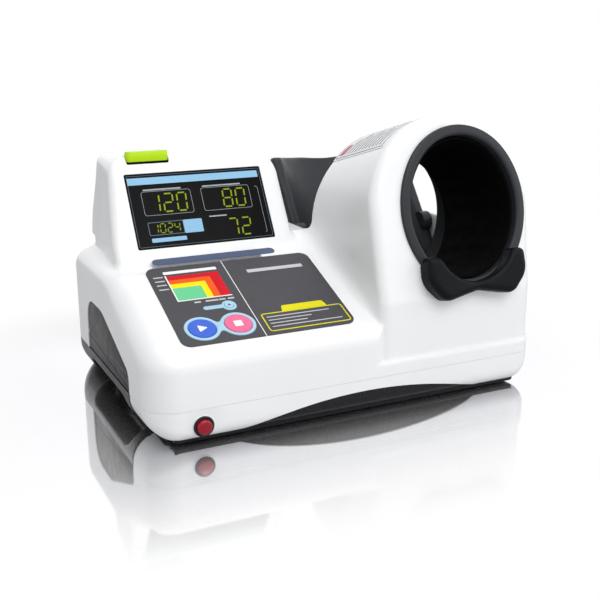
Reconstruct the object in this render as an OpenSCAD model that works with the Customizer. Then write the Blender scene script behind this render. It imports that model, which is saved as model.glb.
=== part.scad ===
// Arm-in blood pressure monitor: a desk-top machine with a display tower,
// a sloping key deck and a cuff tunnel that the user puts an arm through.
// Origin: centre of the footprint on the desk. +X right, +Y to the back, +Z up.

/* [Overall] */
// Width over the casing
body_w = 528; // [516:2:560]
// Depth from the front face to the rear face
body_d = 384; // [380:2:410]
// Thickness of the moulded casing walls
wall = 3; // [2.5:0.5:4]
// Height of the joint between the casing and the base
seam_z = 45; // [42:1:50]
// Side-by-side gap between fixed parts
gap = 0.4; // [0.3:0.1:0.6]
// Play between a part and the seat it rests on
seat = 0.3; // [0.2:0.05:0.4]
// Radial play of a shaft in its bearing
shaft_play = 0.06; // [0.02:0.01:0.1]
// Corner radius of the casing seen from above
plan_r = 38; // [30:1:42]
// Larger radius of its left rear corner
plan_back_r = 78; // [60:1:79]

/* [Deck and display tower] */
// Slope of the key deck from horizontal
deck_tilt = 21.8; // [20:0.2:24]
// Height of the front edge of the deck
deck_z = 104.5; // [98:0.5:110]
// Radius of the nose between the front face and the deck
nose_r = 26; // [16:1:30]
// Radius along the left edge of the deck
deck_edge_r = 30; // [16:1:34]
// Distance up the deck slope to the foot of the display face
crease_s = 196; // [192:1:200]
// Slope of the display face from horizontal
screen_tilt = 59; // [56:0.5:62]
// Height of the ridge over the display face
ridge_z = 296; // [290:1:302]
// Width of the display tower
tower_w = 240; // [232:2:248]
// Width of the shoulder left of the tower
shoulder_w = 23; // [18:1:28]
// How much the tower's left side draws in towards the back
tower_taper = 19; // [10:1:22]
// Radius of the tower's top corners
tower_r = 38; // [28:1:44]
// Height of the shoulder beside the tower
shoulder_z = 166; // [158:1:172]
// Height of the shelf between the tower and the tunnel
shelf_z = 188; // [184:1:190]

/* [Arm tunnel] */
// Outer radius of the tunnel housing's arch
arch_r = 117; // [114:1:119]
// Slope of the tunnel, falling to the back
tunnel_tilt = 14.5; // [12:0.5:16]
// Depth of the tunnel housing at desk level
tunnel_d = 200; // [196:1:206]
// Height of the crease between the apron and the leaning tunnel face
brow_z = 133; // [126:1:138]
// How far the apron stands back from the lower strip
apron_y = 4; // [2:0.5:6]
// Height of the strip around the foot of the casing
strip_z = 62; // [58:1:66]
// Half width of the entry ring
ring_hw = 91; // [88:0.5:93]
// Half height of the entry ring
ring_hh = 102; // [98:0.5:104]
// Radius of the ring's top and bottom arcs
ring_crown_r = 86; // [82:0.5:87]
// Offset of the ring from the middle of the arch
ring_shift = 12; // [8:0.5:12]
// How far the entry ring stands out of the face
ring_proud = 5; // [3:0.5:7]
// Width of the ring's band
ring_band = 13; // [11:0.5:14]
// Wall of the cuff drum
drum_wall = 2.5; // [2:0.25:3]
// Thickness of the empty air bladder
bladder_t = 4; // [3:0.5:5]
// Thickness of the fabric sleeve
sleeve_t = 2.2; // [1.5:0.1:3]

/* [Elbow rest] */
// Slope of the elbow rest from horizontal
elbow_tilt = 53; // [50:0.5:56]
// Depth of the elbow rest's hollow
elbow_sag = 45; // [38:1:48]
// Thickness of the elbow rest
elbow_t = 12; // [9:0.5:13]
// Width of the casing cheek right of the elbow rest
cheek_w = 13.5; // [12:0.5:16]
// Distance of the pivot from the casing's front face
pivot_y = 250; // [247:1:254]
// Height of the pivot
pivot_z = 174; // [171:0.5:175]
// Radius of the pivot pins
pivot_pin_r = 5; // [4:0.25:6]

/* [Keys] */
// Width of the printed deck panels together
panel_w = 218; // [212:1:222]
// Length of the deck panels down the slope
panel_l = 152; // [148:1:156]
// Thickness of the deck panels
panel_t = 1; // [0.8:0.1:1.4]
// Radius of the start and stop buttons
button_r = 16.5; // [15:0.25:17.5]
// Distance between the start and stop buttons
button_pitch = 44; // [42:0.5:47]
// Travel of the deck buttons
button_travel = 1; // [0.6:0.1:1.2]
// Radius of the paper feed button
feed_r = 5.5; // [4.5:0.25:6.5]
// Radius of the emergency stop button
stop_dome_r = 9; // [8:0.25:10]
// Travel of the emergency stop button
stop_travel = 3.5; // [2.5:0.25:4]
// How far the emergency stop button stands out of the front
stop_proud = 7; // [5:0.5:9]

/* [Display] */
// Width of the display window
screen_w = 185; // [178:1:190]
// Height of the display window
screen_h = 100.5; // [96:0.5:104]
// Distance from the crease up to the display window
screen_low = 11.3; // [9:0.5:14]

/* [Printer] */
// Width of the printer lid
lid_w = 68; // [66:1:72]
// Length of the printer lid
lid_l = 72; // [70:1:74]
// Radius of a new paper roll
roll_r = 22; // [18:0.5:24]
// Width of the paper
paper_w = 57.5; // [54:0.5:58]
// Radius of the platen roller
platen_r = 6; // [5:0.25:6.5]
// Length of the green lid release key
release_w = 56; // [50:1:62]
// Travel of the lid release key
release_travel = 2; // [1.5:0.25:2.5]

/* [Cuff drive] */
// Teeth on the spool gear
gear_teeth = 36; // [32:4:40]
// Teeth on the motor pinion
pinion_teeth = 12; // [12:4:16]
// Gear module: pitch diameter for each tooth
gear_module = 1.5; // [1.25:0.05:1.6]
// Face width of the spool gear
gear_w = 8; // [6:0.5:9]
// Radius of the strap spool's hub
spool_r = 12; // [10:0.5:14]
// Width of the strap
strap_w = 40; // [34:1:44]

/* [Base] */
// Height of the rubber feet
foot_h = 3; // [2:0.5:4]
// Radius of the rubber feet
foot_r = 13; // [11:0.5:15]
// Rise of the arch in the bumper's lower edge
bumper_rise = 25; // [20:1:28]
// Distance that the bumper wraps around the sides
bumper_side = 77; // [72:1:84]
// Height of the hand grips under the sides
grip_h = 33; // [28:1:34]
// Length of the hand grips
grip_l = 166; // [140:2:170]
// Depth of the hand grips
grip_depth = 34; // [28:1:40]

/* [Hidden] */

$fn = 48;
white = [0.95, 0.95, 0.95];
dark = [0.24, 0.24, 0.25];
black = [0.06, 0.06, 0.07];
steel = [0.7, 0.7, 0.72];
green_board = [0.1, 0.4, 0.22];
over = 20;            // how far a cutter passes a face
soft_step = 12;       // degrees between the points of a rounded corner

// ---- driving planes and places --------------------------------------------
axis_z = brow_z + ring_hh + 2;
axis_y = apron_y + (axis_z - brow_z) * tan(tunnel_tilt);
pad_proud = 22;
pad_out = ring_hw - 19;
pad_outline = [[-52, -ring_hh - 10, 14], [0, -ring_hh - 2, 40], [52, -ring_hh - 10, 14],
               [pad_out, -ring_hh + 17, 12], [pad_out, -ring_hh + 45, 8], [-pad_out, -ring_hh + 45, 8],
               [-pad_out, -ring_hh + 17, 12]];
pad_low = min([for (p = rounded(pad_outline)) p[1]]);
pad_reach = pad_proud * cos(tunnel_tilt) - axis_y - pad_low * sin(tunnel_tilt);
front_y = (max(pad_reach, stop_proud) - body_d) / 2;
rear_y = front_y + body_d;
left_x = -body_w / 2;
right_x = body_w / 2;
function at_y(y) = front_y + y;

function deck_height(y) = deck_z + y * tan(deck_tilt);
crease_y = crease_s * cos(deck_tilt);
crease_z = deck_z + crease_s * sin(deck_tilt);
crease_r = 12;
ridge_y = crease_y + (ridge_z - crease_z) / tan(screen_tilt);
ridge_r = 10;
tower_start_y = 60;
tower_x0 = left_x + shoulder_w;
tower_x1 = tower_x0 + tower_w;
tower_x = (tower_x0 + tower_x1) / 2;
tower_top_tilt = 4;
lid_inset = 37;
lid_x = tower_x0 + lid_inset + lid_w / 2;
tower_back_y = body_d - 34;
tower_back_z = ridge_z - (tower_back_y - ridge_y) * tan(tower_top_tilt);
tower_rear_z = 205;
ledge_y = (shoulder_z - deck_z) / tan(deck_tilt);
shelf_y = (shelf_z - deck_z) / tan(deck_tilt);

strip_inset = 2.5;
arch_x = right_x - strip_inset - arch_r;
arch_x0 = arch_x - arch_r;
arch_x1 = arch_x + arch_r;
ring_x = arch_x + ring_shift;
tunnel_len = (tunnel_d - axis_y) / cos(tunnel_tilt);

// ---- outlines --------------------------------------------------------------
function unit(v) = v / norm(v);
function left_of(v) = [-v[1], v[0]];
function flat(p) = [p[0], p[1]];
function angle_of(v) = atan2(v[1], v[0]);
function turn(a, b) = let(d = b - a) d > 180 ? d - 360 : d < -180 ? d + 360 : d;

// Points of an outline whose corners [x, y, radius] are rounded
function rounded(pts) = [
  for (i = [0:len(pts) - 1])
    let(p = flat(pts[i]), r = pts[i][2],
        a = unit(flat(pts[(i + len(pts) - 1) % len(pts)]) - p),
        b = unit(flat(pts[(i + 1) % len(pts)]) - p),
        half = acos(a * b) / 2,
        centre = p + unit(a + b) * r / sin(half),
        t = r / tan(half),
        a0 = angle_of(p + a * t - centre),
        sweep = turn(a0, angle_of(p + b * t - centre)),
        n = r < 0.05 ? 0 : max(1, ceil(abs(sweep) / soft_step)))
    for (k = [0:n]) n == 0 ? p : centre + r * [cos(a0 + sweep * k / n), sin(a0 + sweep * k / n)]
];

// The same corners moved inwards by d; the outline runs anticlockwise
function inset(pts, d) = [
  for (i = [0:len(pts) - 1])
    let(p = flat(pts[i]),
        e0 = unit(p - flat(pts[(i + len(pts) - 1) % len(pts)])),
        e1 = unit(flat(pts[(i + 1) % len(pts)]) - p),
        n0 = left_of(e0), n1 = left_of(e1),
        convex = e0[0] * e1[1] - e0[1] * e1[0] > 0,
        q = p + (n0 + n1) * d / (1 + n0 * n1))
    [q[0], q[1], pts[i][2] == 0 ? 0 : max(0.4, pts[i][2] + (convex ? -d : d))]
];

module soft(pts, d = 0) { polygon(rounded(inset(pts, d))); }

function box_outline(x0, y0, x1, y1, r) = [[x0, y0, r], [x1, y0, r], [x1, y1, r], [x0, y1, r]];

// Oval of four arcs: half width a, half height b, crown radius r, made smaller by d
module oval(d = 0) {
  a = ring_hw - d;
  crown = ring_crown_r - d;
  rise = ring_hh - ring_crown_r;
  flank = (a * a + rise * rise - crown * crown) / (2 * (a - crown));
  lens_h = rise * flank / (flank - crown);
  union() {
    for (s = [-1, 1]) translate([0, s * rise]) circle(crown, $fn = 96);
    intersection() {
      for_both_flanks(a, flank);
      square([3 * a, 2 * lens_h], center = true);
    }
  }
}
module for_both_flanks(a, flank) {
  intersection() {
    translate([a - flank, 0]) circle(flank, $fn = 96);
    translate([flank - a, 0]) circle(flank, $fn = 96);
  }
}

// Extrusions along an axis between two planes
module along_x(x0, x1) { translate([x0, 0, 0]) rotate([90, 0, 90]) linear_extrude(x1 - x0) children(); }
module along_y(y0, y1) { translate([0, y1, 0]) rotate([90, 0, 0]) linear_extrude(y1 - y0) children(); }
module along_z(z0, z1) { translate([0, 0, z0]) linear_extrude(z1 - z0) children(); }
module block(lo, hi) { translate(lo) cube([hi[0] - lo[0], hi[1] - lo[1], hi[2] - lo[2]]); }
module rod_x(x0, x1, y, z, r) { translate([x0, y, z]) rotate([0, 90, 0]) cylinder(r = r, h = x1 - x0); }
module rod_y(x, y0, y1, z, r) { translate([x, y0, z]) rotate([-90, 0, 0]) cylinder(r = r, h = y1 - y0); }
module rod_z(x, y, z0, z1, r) { translate([x, y, z0]) cylinder(r = r, h = z1 - z0); }

// ---- local frames ----------------------------------------------------------
// Deck: y up the slope from its front edge, z out of the deck
module on_deck() { translate([0, front_y, deck_z]) rotate([deck_tilt, 0, 0]) children(); }
// Display face: y up the face from the crease, z out of the face
module on_screen() {
  translate([tower_x, at_y(crease_y), crease_z]) rotate([screen_tilt, 0, 0]) children();
}
// Tunnel: y inwards along the axis from the leaning face, z up
module on_tunnel(x = ring_x) {
  translate([x, at_y(axis_y), axis_z]) rotate([-tunnel_tilt, 0, 0]) children();
}
// Elbow rest: origin on the pivot, y up the rest, z out of its hollow
module on_elbow() {
  translate([elbow_x, at_y(pivot_y), pivot_z]) rotate([elbow_tilt, 0, 0]) children();
}
// Top of the tower: y to the back from the ridge, z out of the top
module on_top() {
  translate([lid_x, at_y(ridge_y), ridge_z]) rotate([-tower_top_tilt, 0, 0]) children();
}

// ---- casing forms: w is the inset, 0 outside and wall inside ----------------
function low_z(w) = w > 0 ? seam_z - over : seam_z;

module plan_form(w) {
  soft([[left_x, front_y, plan_r], [right_x, front_y, plan_r], [right_x, rear_y, plan_r],
        [left_x, rear_y, plan_back_r]], w);
}
face_edge_r = 12;
module tunnel_plan(w) {
  soft([[arch_x0, at_y(apron_y), face_edge_r], [arch_x1, at_y(apron_y), plan_r - apron_y],
        [arch_x1, at_y(tunnel_d), 12], [arch_x0, at_y(tunnel_d), 12]], w);
}
module side_prism(pts, x0, x1, w) {
  along_x(x0 + w, x1 - w) soft([for (p = pts) [at_y(p[0]), p[1], p[2]]], w);
}
module deck_form(w) {
  low = low_z(w);
  difference() {
   intersection() {
    side_prism([[0, low, 0], [body_d, low, 0], [body_d, shoulder_z, 30],
                [ledge_y, shoulder_z, 24], [0, deck_z, nose_r]], left_x, arch_x0 + over, w);
    on_deck() along_y(-2 * body_d, 2 * body_d)
      soft([[left_x, -body_d, 0], [right_x, -body_d, 0], [right_x, 0, 0], [left_x, 0, deck_edge_r]], w);
    along_y(front_y, rear_y)
      soft([[left_x, low, 0], [right_x, low, 0], [right_x, shoulder_z, 0], [left_x, shoulder_z, 16]], w);
    along_z(low - over, ridge_z) plan_form(w);
    block([left_x, front_y - over, 0], [arch_x0 + over, at_y(tunnel_d) + body_d, ridge_z]);
   }
   block([arch_x0 + face_edge_r / 3 - w, front_y - over, strip_z - w],
         [right_x, at_y(apron_y + 2 * face_edge_r / 3 + w), ridge_z]);
  }
}
// The tower's left side from above: straight, then drawn in towards the back
tower_waist_y = crease_y + 8;
module tower_plan(w) {
  x = tower_x0 - 4;
  lean = tower_taper / (body_d - tower_waist_y);
  soft([[x, front_y - body_d, 0], [right_x, front_y - body_d, 0], [right_x, rear_y + body_d, 0],
        [x + lean * (2 * body_d - tower_waist_y), rear_y + body_d, 0], [x, at_y(tower_waist_y), 120]], w);
}
module tower_form(w) {
  low = low_z(w);
  intersection() {
    side_prism([[tower_start_y, low, 0], [body_d, low, 0], [body_d, tower_rear_z, 40],
                [tower_back_y, tower_back_z, 20], [ridge_y, ridge_z, ridge_r],
                [crease_y, crease_z, crease_r], [tower_start_y, deck_height(tower_start_y), 0]],
               tower_x0, tower_x1, w);
    along_y(front_y, rear_y)
      soft([[tower_x0 - 4, low, 0], [tower_x1, low, 0], [tower_x1, ridge_z, tower_r],
            [tower_x0 + 6, ridge_z, tower_r], [tower_x0 - 4, shelf_z, 40]], w);
    along_z(low - over, ridge_z + over) tower_plan(w);
    along_z(low - over, ridge_z + over) plan_form(w);
  }
}
module shelf_form(w) {
  low = low_z(w);
  side_prism([[tower_start_y, low, 0], [body_d, low, 0], [body_d, shelf_z, 30],
              [shelf_y, shelf_z, 20], [tower_start_y, deck_height(tower_start_y), 0]],
             tower_x1 - 3 * over / 2, arch_x0 + wall, w);
}
module strip_form(w) {
  low = low_z(w);
  intersection() {
    side_prism([[0, low, 0], [body_d, low, 0], [body_d, strip_z, 3], [0, strip_z, 3]], left_x, right_x, w);
    along_z(low - over, ridge_z) plan_form(w);
  }
}
module arch_section(w) {
  union() {
    circle(arch_r - w, $fn = 96);
    translate([-arch_r + w, -body_d]) square([2 * (arch_r - w), body_d]);
  }
}
module tunnel_form(w) {
  low = low_z(w);
  top = 2 * arch_r + axis_z;
  intersection() {
    side_prism([[apron_y, low, 0], [tunnel_d, low, 0], [tunnel_d, top, 0],
                [apron_y + (top - brow_z) * tan(tunnel_tilt), top, 0], [apron_y, brow_z, 24]],
               arch_x0, arch_x1, w);
    on_tunnel(arch_x) along_y(-body_d, body_d) arch_section(w);
    along_z(low - over, top) tunnel_plan(w);
  }
}

// Hollow behind the tunnel in which the elbow rest swings
elbow_play = 4;
bay_floor_z = 80;
bay_x0 = arch_x0 + wall / 2;
bay_x1 = right_x - cheek_w;
elbow_x = (bay_x0 + bay_x1) / 2;
elbow_hw = (bay_x1 - bay_x0) / 2 - 1;
elbow_rim = 12;
elbow_chord = elbow_hw - elbow_rim;
elbow_arc_r = (elbow_chord * elbow_chord + elbow_sag * elbow_sag) / (2 * elbow_sag);
elbow_arc_z = elbow_arc_r - elbow_sag;
module bay(w) {
  intersection() {
    on_elbow() union() {
      along_y(-body_d, body_d) translate([0, elbow_arc_z])
        circle(elbow_arc_r + elbow_t + elbow_play + w, $fn = 96);
      block([-body_w, -body_d, -elbow_t - elbow_play - w], [body_w, body_d, body_w]);
    }
    block([bay_x0 - w, at_y(tunnel_d) - w, bay_floor_z - w], [bay_x1 + w, rear_y + over, 2 * ridge_z]);
  }
}
back_top_z = 236;
cheek_z = shelf_z - 2;
module back_form(w) {
  low = low_z(w);
  rise_y = pivot_y + (cheek_z - pivot_z) / tan(elbow_tilt) + 24;
  intersection() {
    side_prism([[tunnel_d - 12, low, 0], [body_d, low, 0], [body_d, back_top_z, 24],
                [rise_y + (back_top_z - cheek_z) / tan(elbow_tilt), back_top_z, 14],
                [rise_y, cheek_z, 12], [tunnel_d - 12, cheek_z, 0]],
               arch_x0, arch_x1 + strip_inset, w);
    along_z(low - over, ridge_z) plan_form(w);
  }
}
module all_forms(w) {
  union() {
    deck_form(w);
    tower_form(w);
    shelf_form(w);
    strip_form(w);
    tunnel_form(w);
    back_form(w);
  }
}

// ---- upper casing ------------------------------------------------------------
ring_fit = 3.5;                 // ring body inside the edge of its band
panel_x0 = left_x + 47;
panel_s0 = 20;
panel_split = 100;
panel_r = 12;
button_fit = 0.35;
start_x = panel_x0 + 31.5;
button_s = panel_s0 + 27.5;
stop_x = start_x + button_pitch;
feed_x = stop_x + 2;
feed_s = button_s + 35.5;
flange_t = 2;
flange_w = 2;
switch_play = 0.3;
switch_h = 3.5;
switch_z = -wall - seat - flange_t - button_travel - switch_play;
board_t = 1.6;
board_z = switch_z - switch_h;
key_board_lo = [start_x - 26, button_s - 20];
key_board_hi = [feed_x + 24, feed_s + 14];
board_posts = [[key_board_lo[0] + 4, key_board_lo[1] + 4], [key_board_hi[0] - 4, key_board_lo[1] + 4],
               [key_board_lo[0] + 4, key_board_hi[1] - 4], [key_board_hi[0] - 4, key_board_hi[1] - 4]];

lid_start = 12;
lid_gap = 0.8;
hinge_r = 6;
hinge_pin_r = 1.8;
hinge_y = lid_start + lid_l - hinge_r;
release_y0 = -6;
release_y1 = 5.5;
release_drop = 9;
release_rise = 4;
release_x = tower_x0 + 34 + release_w / 2;

cover_y0 = bumper_side + 2;
cover_y1 = cover_y0 + 189;
function cover_outline(d) =
  inset([[at_y(cover_y0), seam_z, 0], [at_y(cover_y1), seam_z, 0], [at_y(cover_y1 - 3), seam_z + 70, 32],
         [at_y(cover_y0 + 111), seam_z + 70, 60], [at_y(cover_y0), seam_z + 26, 14]], d);

panel_cx = tower_x + 6;
rear_panel_w = 130;
rear_panel_h = 60;
rear_panel_z = strip_z + 26;

screw_places = [[-165, 25], [165, 25], [-200, body_d - 24], [200, body_d - 24]];
screw_head_z = 28;
boss_top_z = strip_z - wall / 2;
screw_top_z = boss_top_z - 4;
boss_hw = 8;

module casing_bosses() {
  for (p = screw_places) {
    front = p[1] < body_d / 2;
    intersection() {
      block([p[0] - boss_hw, front ? front_y + wall / 2 : at_y(p[1]) - boss_hw, seam_z],
            [p[0] + boss_hw, front ? at_y(p[1]) + boss_hw : rear_y - wall / 2, boss_top_z]);
      along_z(0, ridge_z) plan_form(wall / 2);
    }
  }
  for (side = [-1, 1]) on_elbow()
    rod_x(side < 0 ? -elbow_hw - 11 : elbow_hw + 1, side < 0 ? -elbow_hw - 1 : elbow_hw + 11, 0, 0, pivot_pin_r + 4);
  on_deck() for (p = board_posts) rod_z(p[0], p[1], board_z, -wall / 2, 2.5);
}
module casing_cuts() {
  on_screen() block([-screen_w / 2 - gap, screen_low - gap, -wall - over],
                    [screen_w / 2 + gap, screen_low + screen_h + gap, over]);
  on_deck() {
    rod_z(start_x, button_s, -wall - 1, over, button_r + button_fit);
    rod_z(stop_x, button_s, -wall - 1, over, button_r + button_fit);
    rod_z(feed_x, feed_s, -wall - 1, over, feed_r + button_fit);
  }
  on_top() block([-lid_w / 2 - gap, lid_start - gap, -wall - 1],
                 [lid_w / 2 + gap, lid_start + lid_l + lid_gap, over]);
  on_top() translate([release_x - lid_x, 0, 0])
    block([-release_w / 2 - gap, release_y0 - gap, -release_drop - release_travel - 1],
          [release_w / 2 + gap, release_y1 + gap, over]);
  on_tunnel() along_y(-over, over) oval(ring_fit - 0.5);
  intersection() {
    on_tunnel() along_y(over, 2 * tunnel_d) oval(ring_fit - 0.5);
    block([left_x, at_y(tunnel_d) - wall - 1, 0], [right_x, at_y(tunnel_d) + 1, 2 * ridge_z]);
  }
  along_x(left_x - over, left_x + over) soft(cover_outline(0));
  along_x(right_x - strip_inset - wall - 1, right_x + over) soft(cover_outline(0));
  block([panel_cx - rear_panel_w / 2, rear_y - wall - 1, rear_panel_z - rear_panel_h / 2],
        [panel_cx + rear_panel_w / 2, rear_y + over, rear_panel_z + rear_panel_h / 2]);
  on_elbow() rod_x(-elbow_hw - 9.5, elbow_hw + 9.5, 0, 0, pivot_pin_r + shaft_play);
  for (p = screw_places) rod_z(p[0], at_y(p[1]), seam_z - 1, screw_top_z + 1, screw_r);
}
module upper_casing() {
  color(white) difference() {
    union() {
      difference() {
        difference() {
          all_forms(0);
          bay(0);
        }
        difference() {
          all_forms(wall);
          bay(wall);
        }
      }
      casing_bosses();
    }
    casing_cuts();
  }
}

// ---- base: bumper, tray, covers -----------------------------------------------
bumper_z = 6;
bumper_play = 0.5;
lip_side = 30;
lip_front = 10;
base_side_r = 36;
base_front_r = 18;
base_floor = 3;
arch_chord = 340;
bumper_arch_r = (arch_chord * arch_chord / 4 + bumper_rise * bumper_rise) / (2 * bumper_rise);
bumper_arch_x = 8;
stop_cx = left_x + 61;
stop_cz = 24.5;
stop_boss_r = 15;
collar_r = 12.3;
sleeve_r = 10.4;
sleeve_fit = 0.2;
sleeve_end = 8;
screw_r = 1.9;
screw_head_r = 3.5;
post_r = 7;

// Base body with its bottom at zb before it is inset by w
module base_form(w, zb, front_r = base_front_r) {
  intersection() {
    along_y(front_y, rear_y)
      soft([[left_x, zb, base_side_r], [right_x, zb, base_side_r], [right_x, seam_z + w, 0],
            [left_x, seam_z + w, 0]], w);
    side_prism([[0, zb, front_r], [body_d, zb, 4], [body_d, seam_z + w, 0], [0, seam_z + w, 0]],
               left_x, right_x, w);
    along_z(0, seam_z) plan_form(w);
  }
}
module bumper_arch() {
  translate([bumper_arch_x, 0, bumper_z + bumper_rise - bumper_arch_r]) rotate([90, 0, 0])
    cylinder(r = bumper_arch_r, h = 2 * body_d, center = true, $fn = 180);
}
module front_bumper() {
  color(white) difference() {
    union() {
      difference() {
        base_form(0, bumper_z);
        base_form(wall, bumper_z);
        block([left_x + lip_side, front_y + lip_front, 0], [right_x - lip_side, rear_y, bumper_z + 2 * wall]);
        bumper_arch();
      }
      rod_y(stop_cx, front_y - 0.6, front_y + sleeve_end, stop_cz, stop_boss_r);
    }
    block([left_x - 1, at_y(bumper_side), 0], [right_x + 1, rear_y + 1, seam_z + 1]);
    block([left_x - 1, front_y - 1, seam_z - seat], [right_x + 1, rear_y, seam_z + 1]);
    rod_y(stop_cx, front_y - 1, front_y + over, stop_cz, sleeve_r + sleeve_fit);
  }
}
grip_y0 = bumper_side + 17;
module grip(w) {
  along_x(left_x - over, left_x + grip_depth + w)
    soft([[at_y(grip_y0), -over, 0], [at_y(grip_y0 + grip_l), -over, 0],
          [at_y(grip_y0 + grip_l), grip_h, 12], [at_y(grip_y0), grip_h, 26]], -w);
}
module both_grips(w) {
  grip(w);
  mirror([1, 0, 0]) grip(w);
}
module tray_half(d, y0, y1, floor_z) {
  intersection() {
    base_form(d, floor_z - d);
    block([left_x - 1, at_y(y0), floor_z], [right_x + 1, at_y(y1), seam_z - seat]);
  }
}
tray_step = wall + bumper_play;
speaker_x = -60;
speaker_y = 62;
speaker_r = 28;
board_lo = [-205, 120];
board_hi = [-25, 240];
board_stand_z = 38;
standoffs = [[board_lo[0] + 6, board_lo[1] + 6], [board_hi[0] - 6, board_lo[1] + 6],
             [board_lo[0] + 6, board_hi[1] - 6], [board_hi[0] - 6, board_hi[1] - 6]];
floor_top = foot_h + base_floor;
module front_core(d, z0) {
  union() {
    base_form(tray_step + d, bumper_z);
    block([left_x + lip_side + bumper_play + d, front_y + lip_front + bumper_play + d, z0],
          [right_x - lip_side - bumper_play - d, at_y(bumper_side + bumper_play + wall + d), bumper_z + 3 * wall]);
  }
}
module base_tray() {
  tray_y = bumper_side + bumper_play;
  color(black) difference() {
    union() {
      difference() {
        union() {
          tray_half(0, tray_y, body_d, foot_h);
          intersection() {
            front_core(0, foot_h);
            block([left_x, front_y, 0], [right_x, at_y(tray_y + 1), seam_z - seat]);
          }
        }
        difference() {
          union() {
            base_form(wall, floor_top - wall);
            along_z(seam_z - 2, seam_z + 1) plan_form(wall);
          }
          block([left_x, front_y, 0], [right_x, at_y(tray_y + wall), seam_z + 1]);
          both_grips(wall);
        }
        difference() {
          union() {
            front_core(wall, floor_top);
            along_z(seam_z - 2, seam_z + 1) plan_form(tray_step + wall);
          }
          both_grips(wall);
        }
        both_grips(0);
      }
      difference() {
        both_grips(wall);
        both_grips(0);
        outside_tray();
      }
      for (p = screw_places) rod_z(p[0], at_y(p[1]), foot_h, seam_z - seat, post_r);
      for (p = standoffs) rod_z(p[0], at_y(p[1]), foot_h, board_stand_z, 4);
    }
    for (p = screw_places) {
      rod_z(p[0], at_y(p[1]), 0, screw_head_z, screw_head_r + 0.5);
      rod_z(p[0], at_y(p[1]), 0, seam_z, screw_r + 0.3);
    }
    rod_y(stop_cx, front_y, front_y + over, stop_cz, stop_boss_r + 0.5);
    for (ring = [1:3]) for (k = [0:6 * ring - 1])
      rod_z(speaker_x + 6.5 * ring * cos(60 * k / ring), at_y(speaker_y) + 6.5 * ring * sin(60 * k / ring),
            0, floor_top + 1, 1.5);
  }
}
module outside_tray() {
  difference() {
    block([left_x - 2 * over, front_y - over, -2 * over], [right_x + 2 * over, rear_y + over, seam_z + over]);
    tray_half(0, 0, body_d, foot_h);
  }
}

cover_t = 2;
module side_cover() {
  color(dark) union() {
    along_x(left_x + 1, left_x + wall + strip_inset) soft(cover_outline(gap));
    intersection() {
      along_x(left_x + wall + strip_inset, left_x + wall + strip_inset + cover_t) soft(cover_outline(-4));
      block([left_x, front_y, seam_z], [0, rear_y, ridge_z]);
    }
  }
}
module left_side_cover() { side_cover(); }
module right_side_cover() { mirror([1, 0, 0]) side_cover(); }

foot_places = [for (x = [-1, 1]) for (y = [50, body_d - 42]) [x * (body_w / 2 - 59), y]];
module rubber_feet() {
  color(black) for (p = foot_places) difference() {
    rod_z(p[0], at_y(p[1]), 0, foot_h, foot_r);
    rod_z(p[0], at_y(p[1]), -1, foot_h / 2, foot_r / 3);
  }
}
module casing_screws() {
  color(steel) for (p = screw_places) difference() {
    union() {
      rod_z(p[0], at_y(p[1]), screw_head_z - 2.6, screw_head_z, screw_head_r);
      rod_z(p[0], at_y(p[1]), screw_head_z, screw_top_z, screw_r);
    }
    translate([p[0], at_y(p[1]), screw_head_z - 2.6]) for (a = [0, 90]) rotate(a)
      cube([4, 0.9, 3], center = true);
  }
}

// ---- rear panel and its sockets -------------------------------------------------
panel_lip = 5;
panel_back_y = rear_y - wall - 2.5;
inlet_x = panel_cx - 38;
inlet_w = 27;
inlet_h = 20;
inlet_depth = 24;
rocker_x = panel_cx + 2;
rocker_w = 13;
rocker_h = 19;
port_x = panel_cx + 40;
port_w = 16;
port_h = 12;
port_depth = 14;
module rear_box(x, y0, y1, w, h) {
  block([x - w / 2, y0, rear_panel_z - h / 2], [x + w / 2, y1, rear_panel_z + h / 2]);
}
module rear_panel() {
  color(dark) difference() {
    rear_box(panel_cx, panel_back_y, rear_y - wall, rear_panel_w + 2 * panel_lip, rear_panel_h + 2 * panel_lip);
    rear_box(inlet_x, panel_back_y - 1, rear_y, inlet_w + 2 * gap, inlet_h + 2 * gap);
    rear_box(rocker_x, panel_back_y - 1, rear_y, rocker_w + 4 + 2 * gap, rocker_h + 4 + 2 * gap);
    rear_box(port_x, panel_back_y - 1, rear_y, port_w + 2 * gap, port_h + 2 * gap);
  }
}
module power_inlet() {
  color(black) union() {
    difference() {
      union() {
        rear_box(inlet_x, rear_y - wall, rear_y - 1, inlet_w + 8, inlet_h + 6);
        rear_box(inlet_x, rear_y - wall - inlet_depth, rear_y - wall, inlet_w, inlet_h);
      }
      rear_box(inlet_x, rear_y - wall - inlet_depth + 4, rear_y, inlet_w - 3, inlet_h - 3.5);
    }
    for (p = [[-7, 2], [0, -2], [7, 2]])
      block([inlet_x + p[0] - 1, rear_y - wall - inlet_depth + 3, rear_panel_z + p[1] - 2],
            [inlet_x + p[0] + 1, rear_y - wall - 6, rear_panel_z + p[1] + 2]);
  }
}
rocker_tilt = 8;
module switch_frame() {
  color(black) difference() {
    union() {
      rear_box(rocker_x, rear_y - wall, rear_y - 1.5, rocker_w + 8, rocker_h + 8);
      rear_box(rocker_x, rear_y - wall - 16, rear_y - wall, rocker_w + 4, rocker_h + 4);
    }
    rear_box(rocker_x, rear_y - wall - 12, rear_y, rocker_w + 1, rocker_h + 1);
    rod_x(rocker_x - rocker_w / 2 - 1.6, rocker_x + rocker_w / 2 + 1.6, rear_y - 9, rear_panel_z, 1.5 + shaft_play);
  }
}
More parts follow.
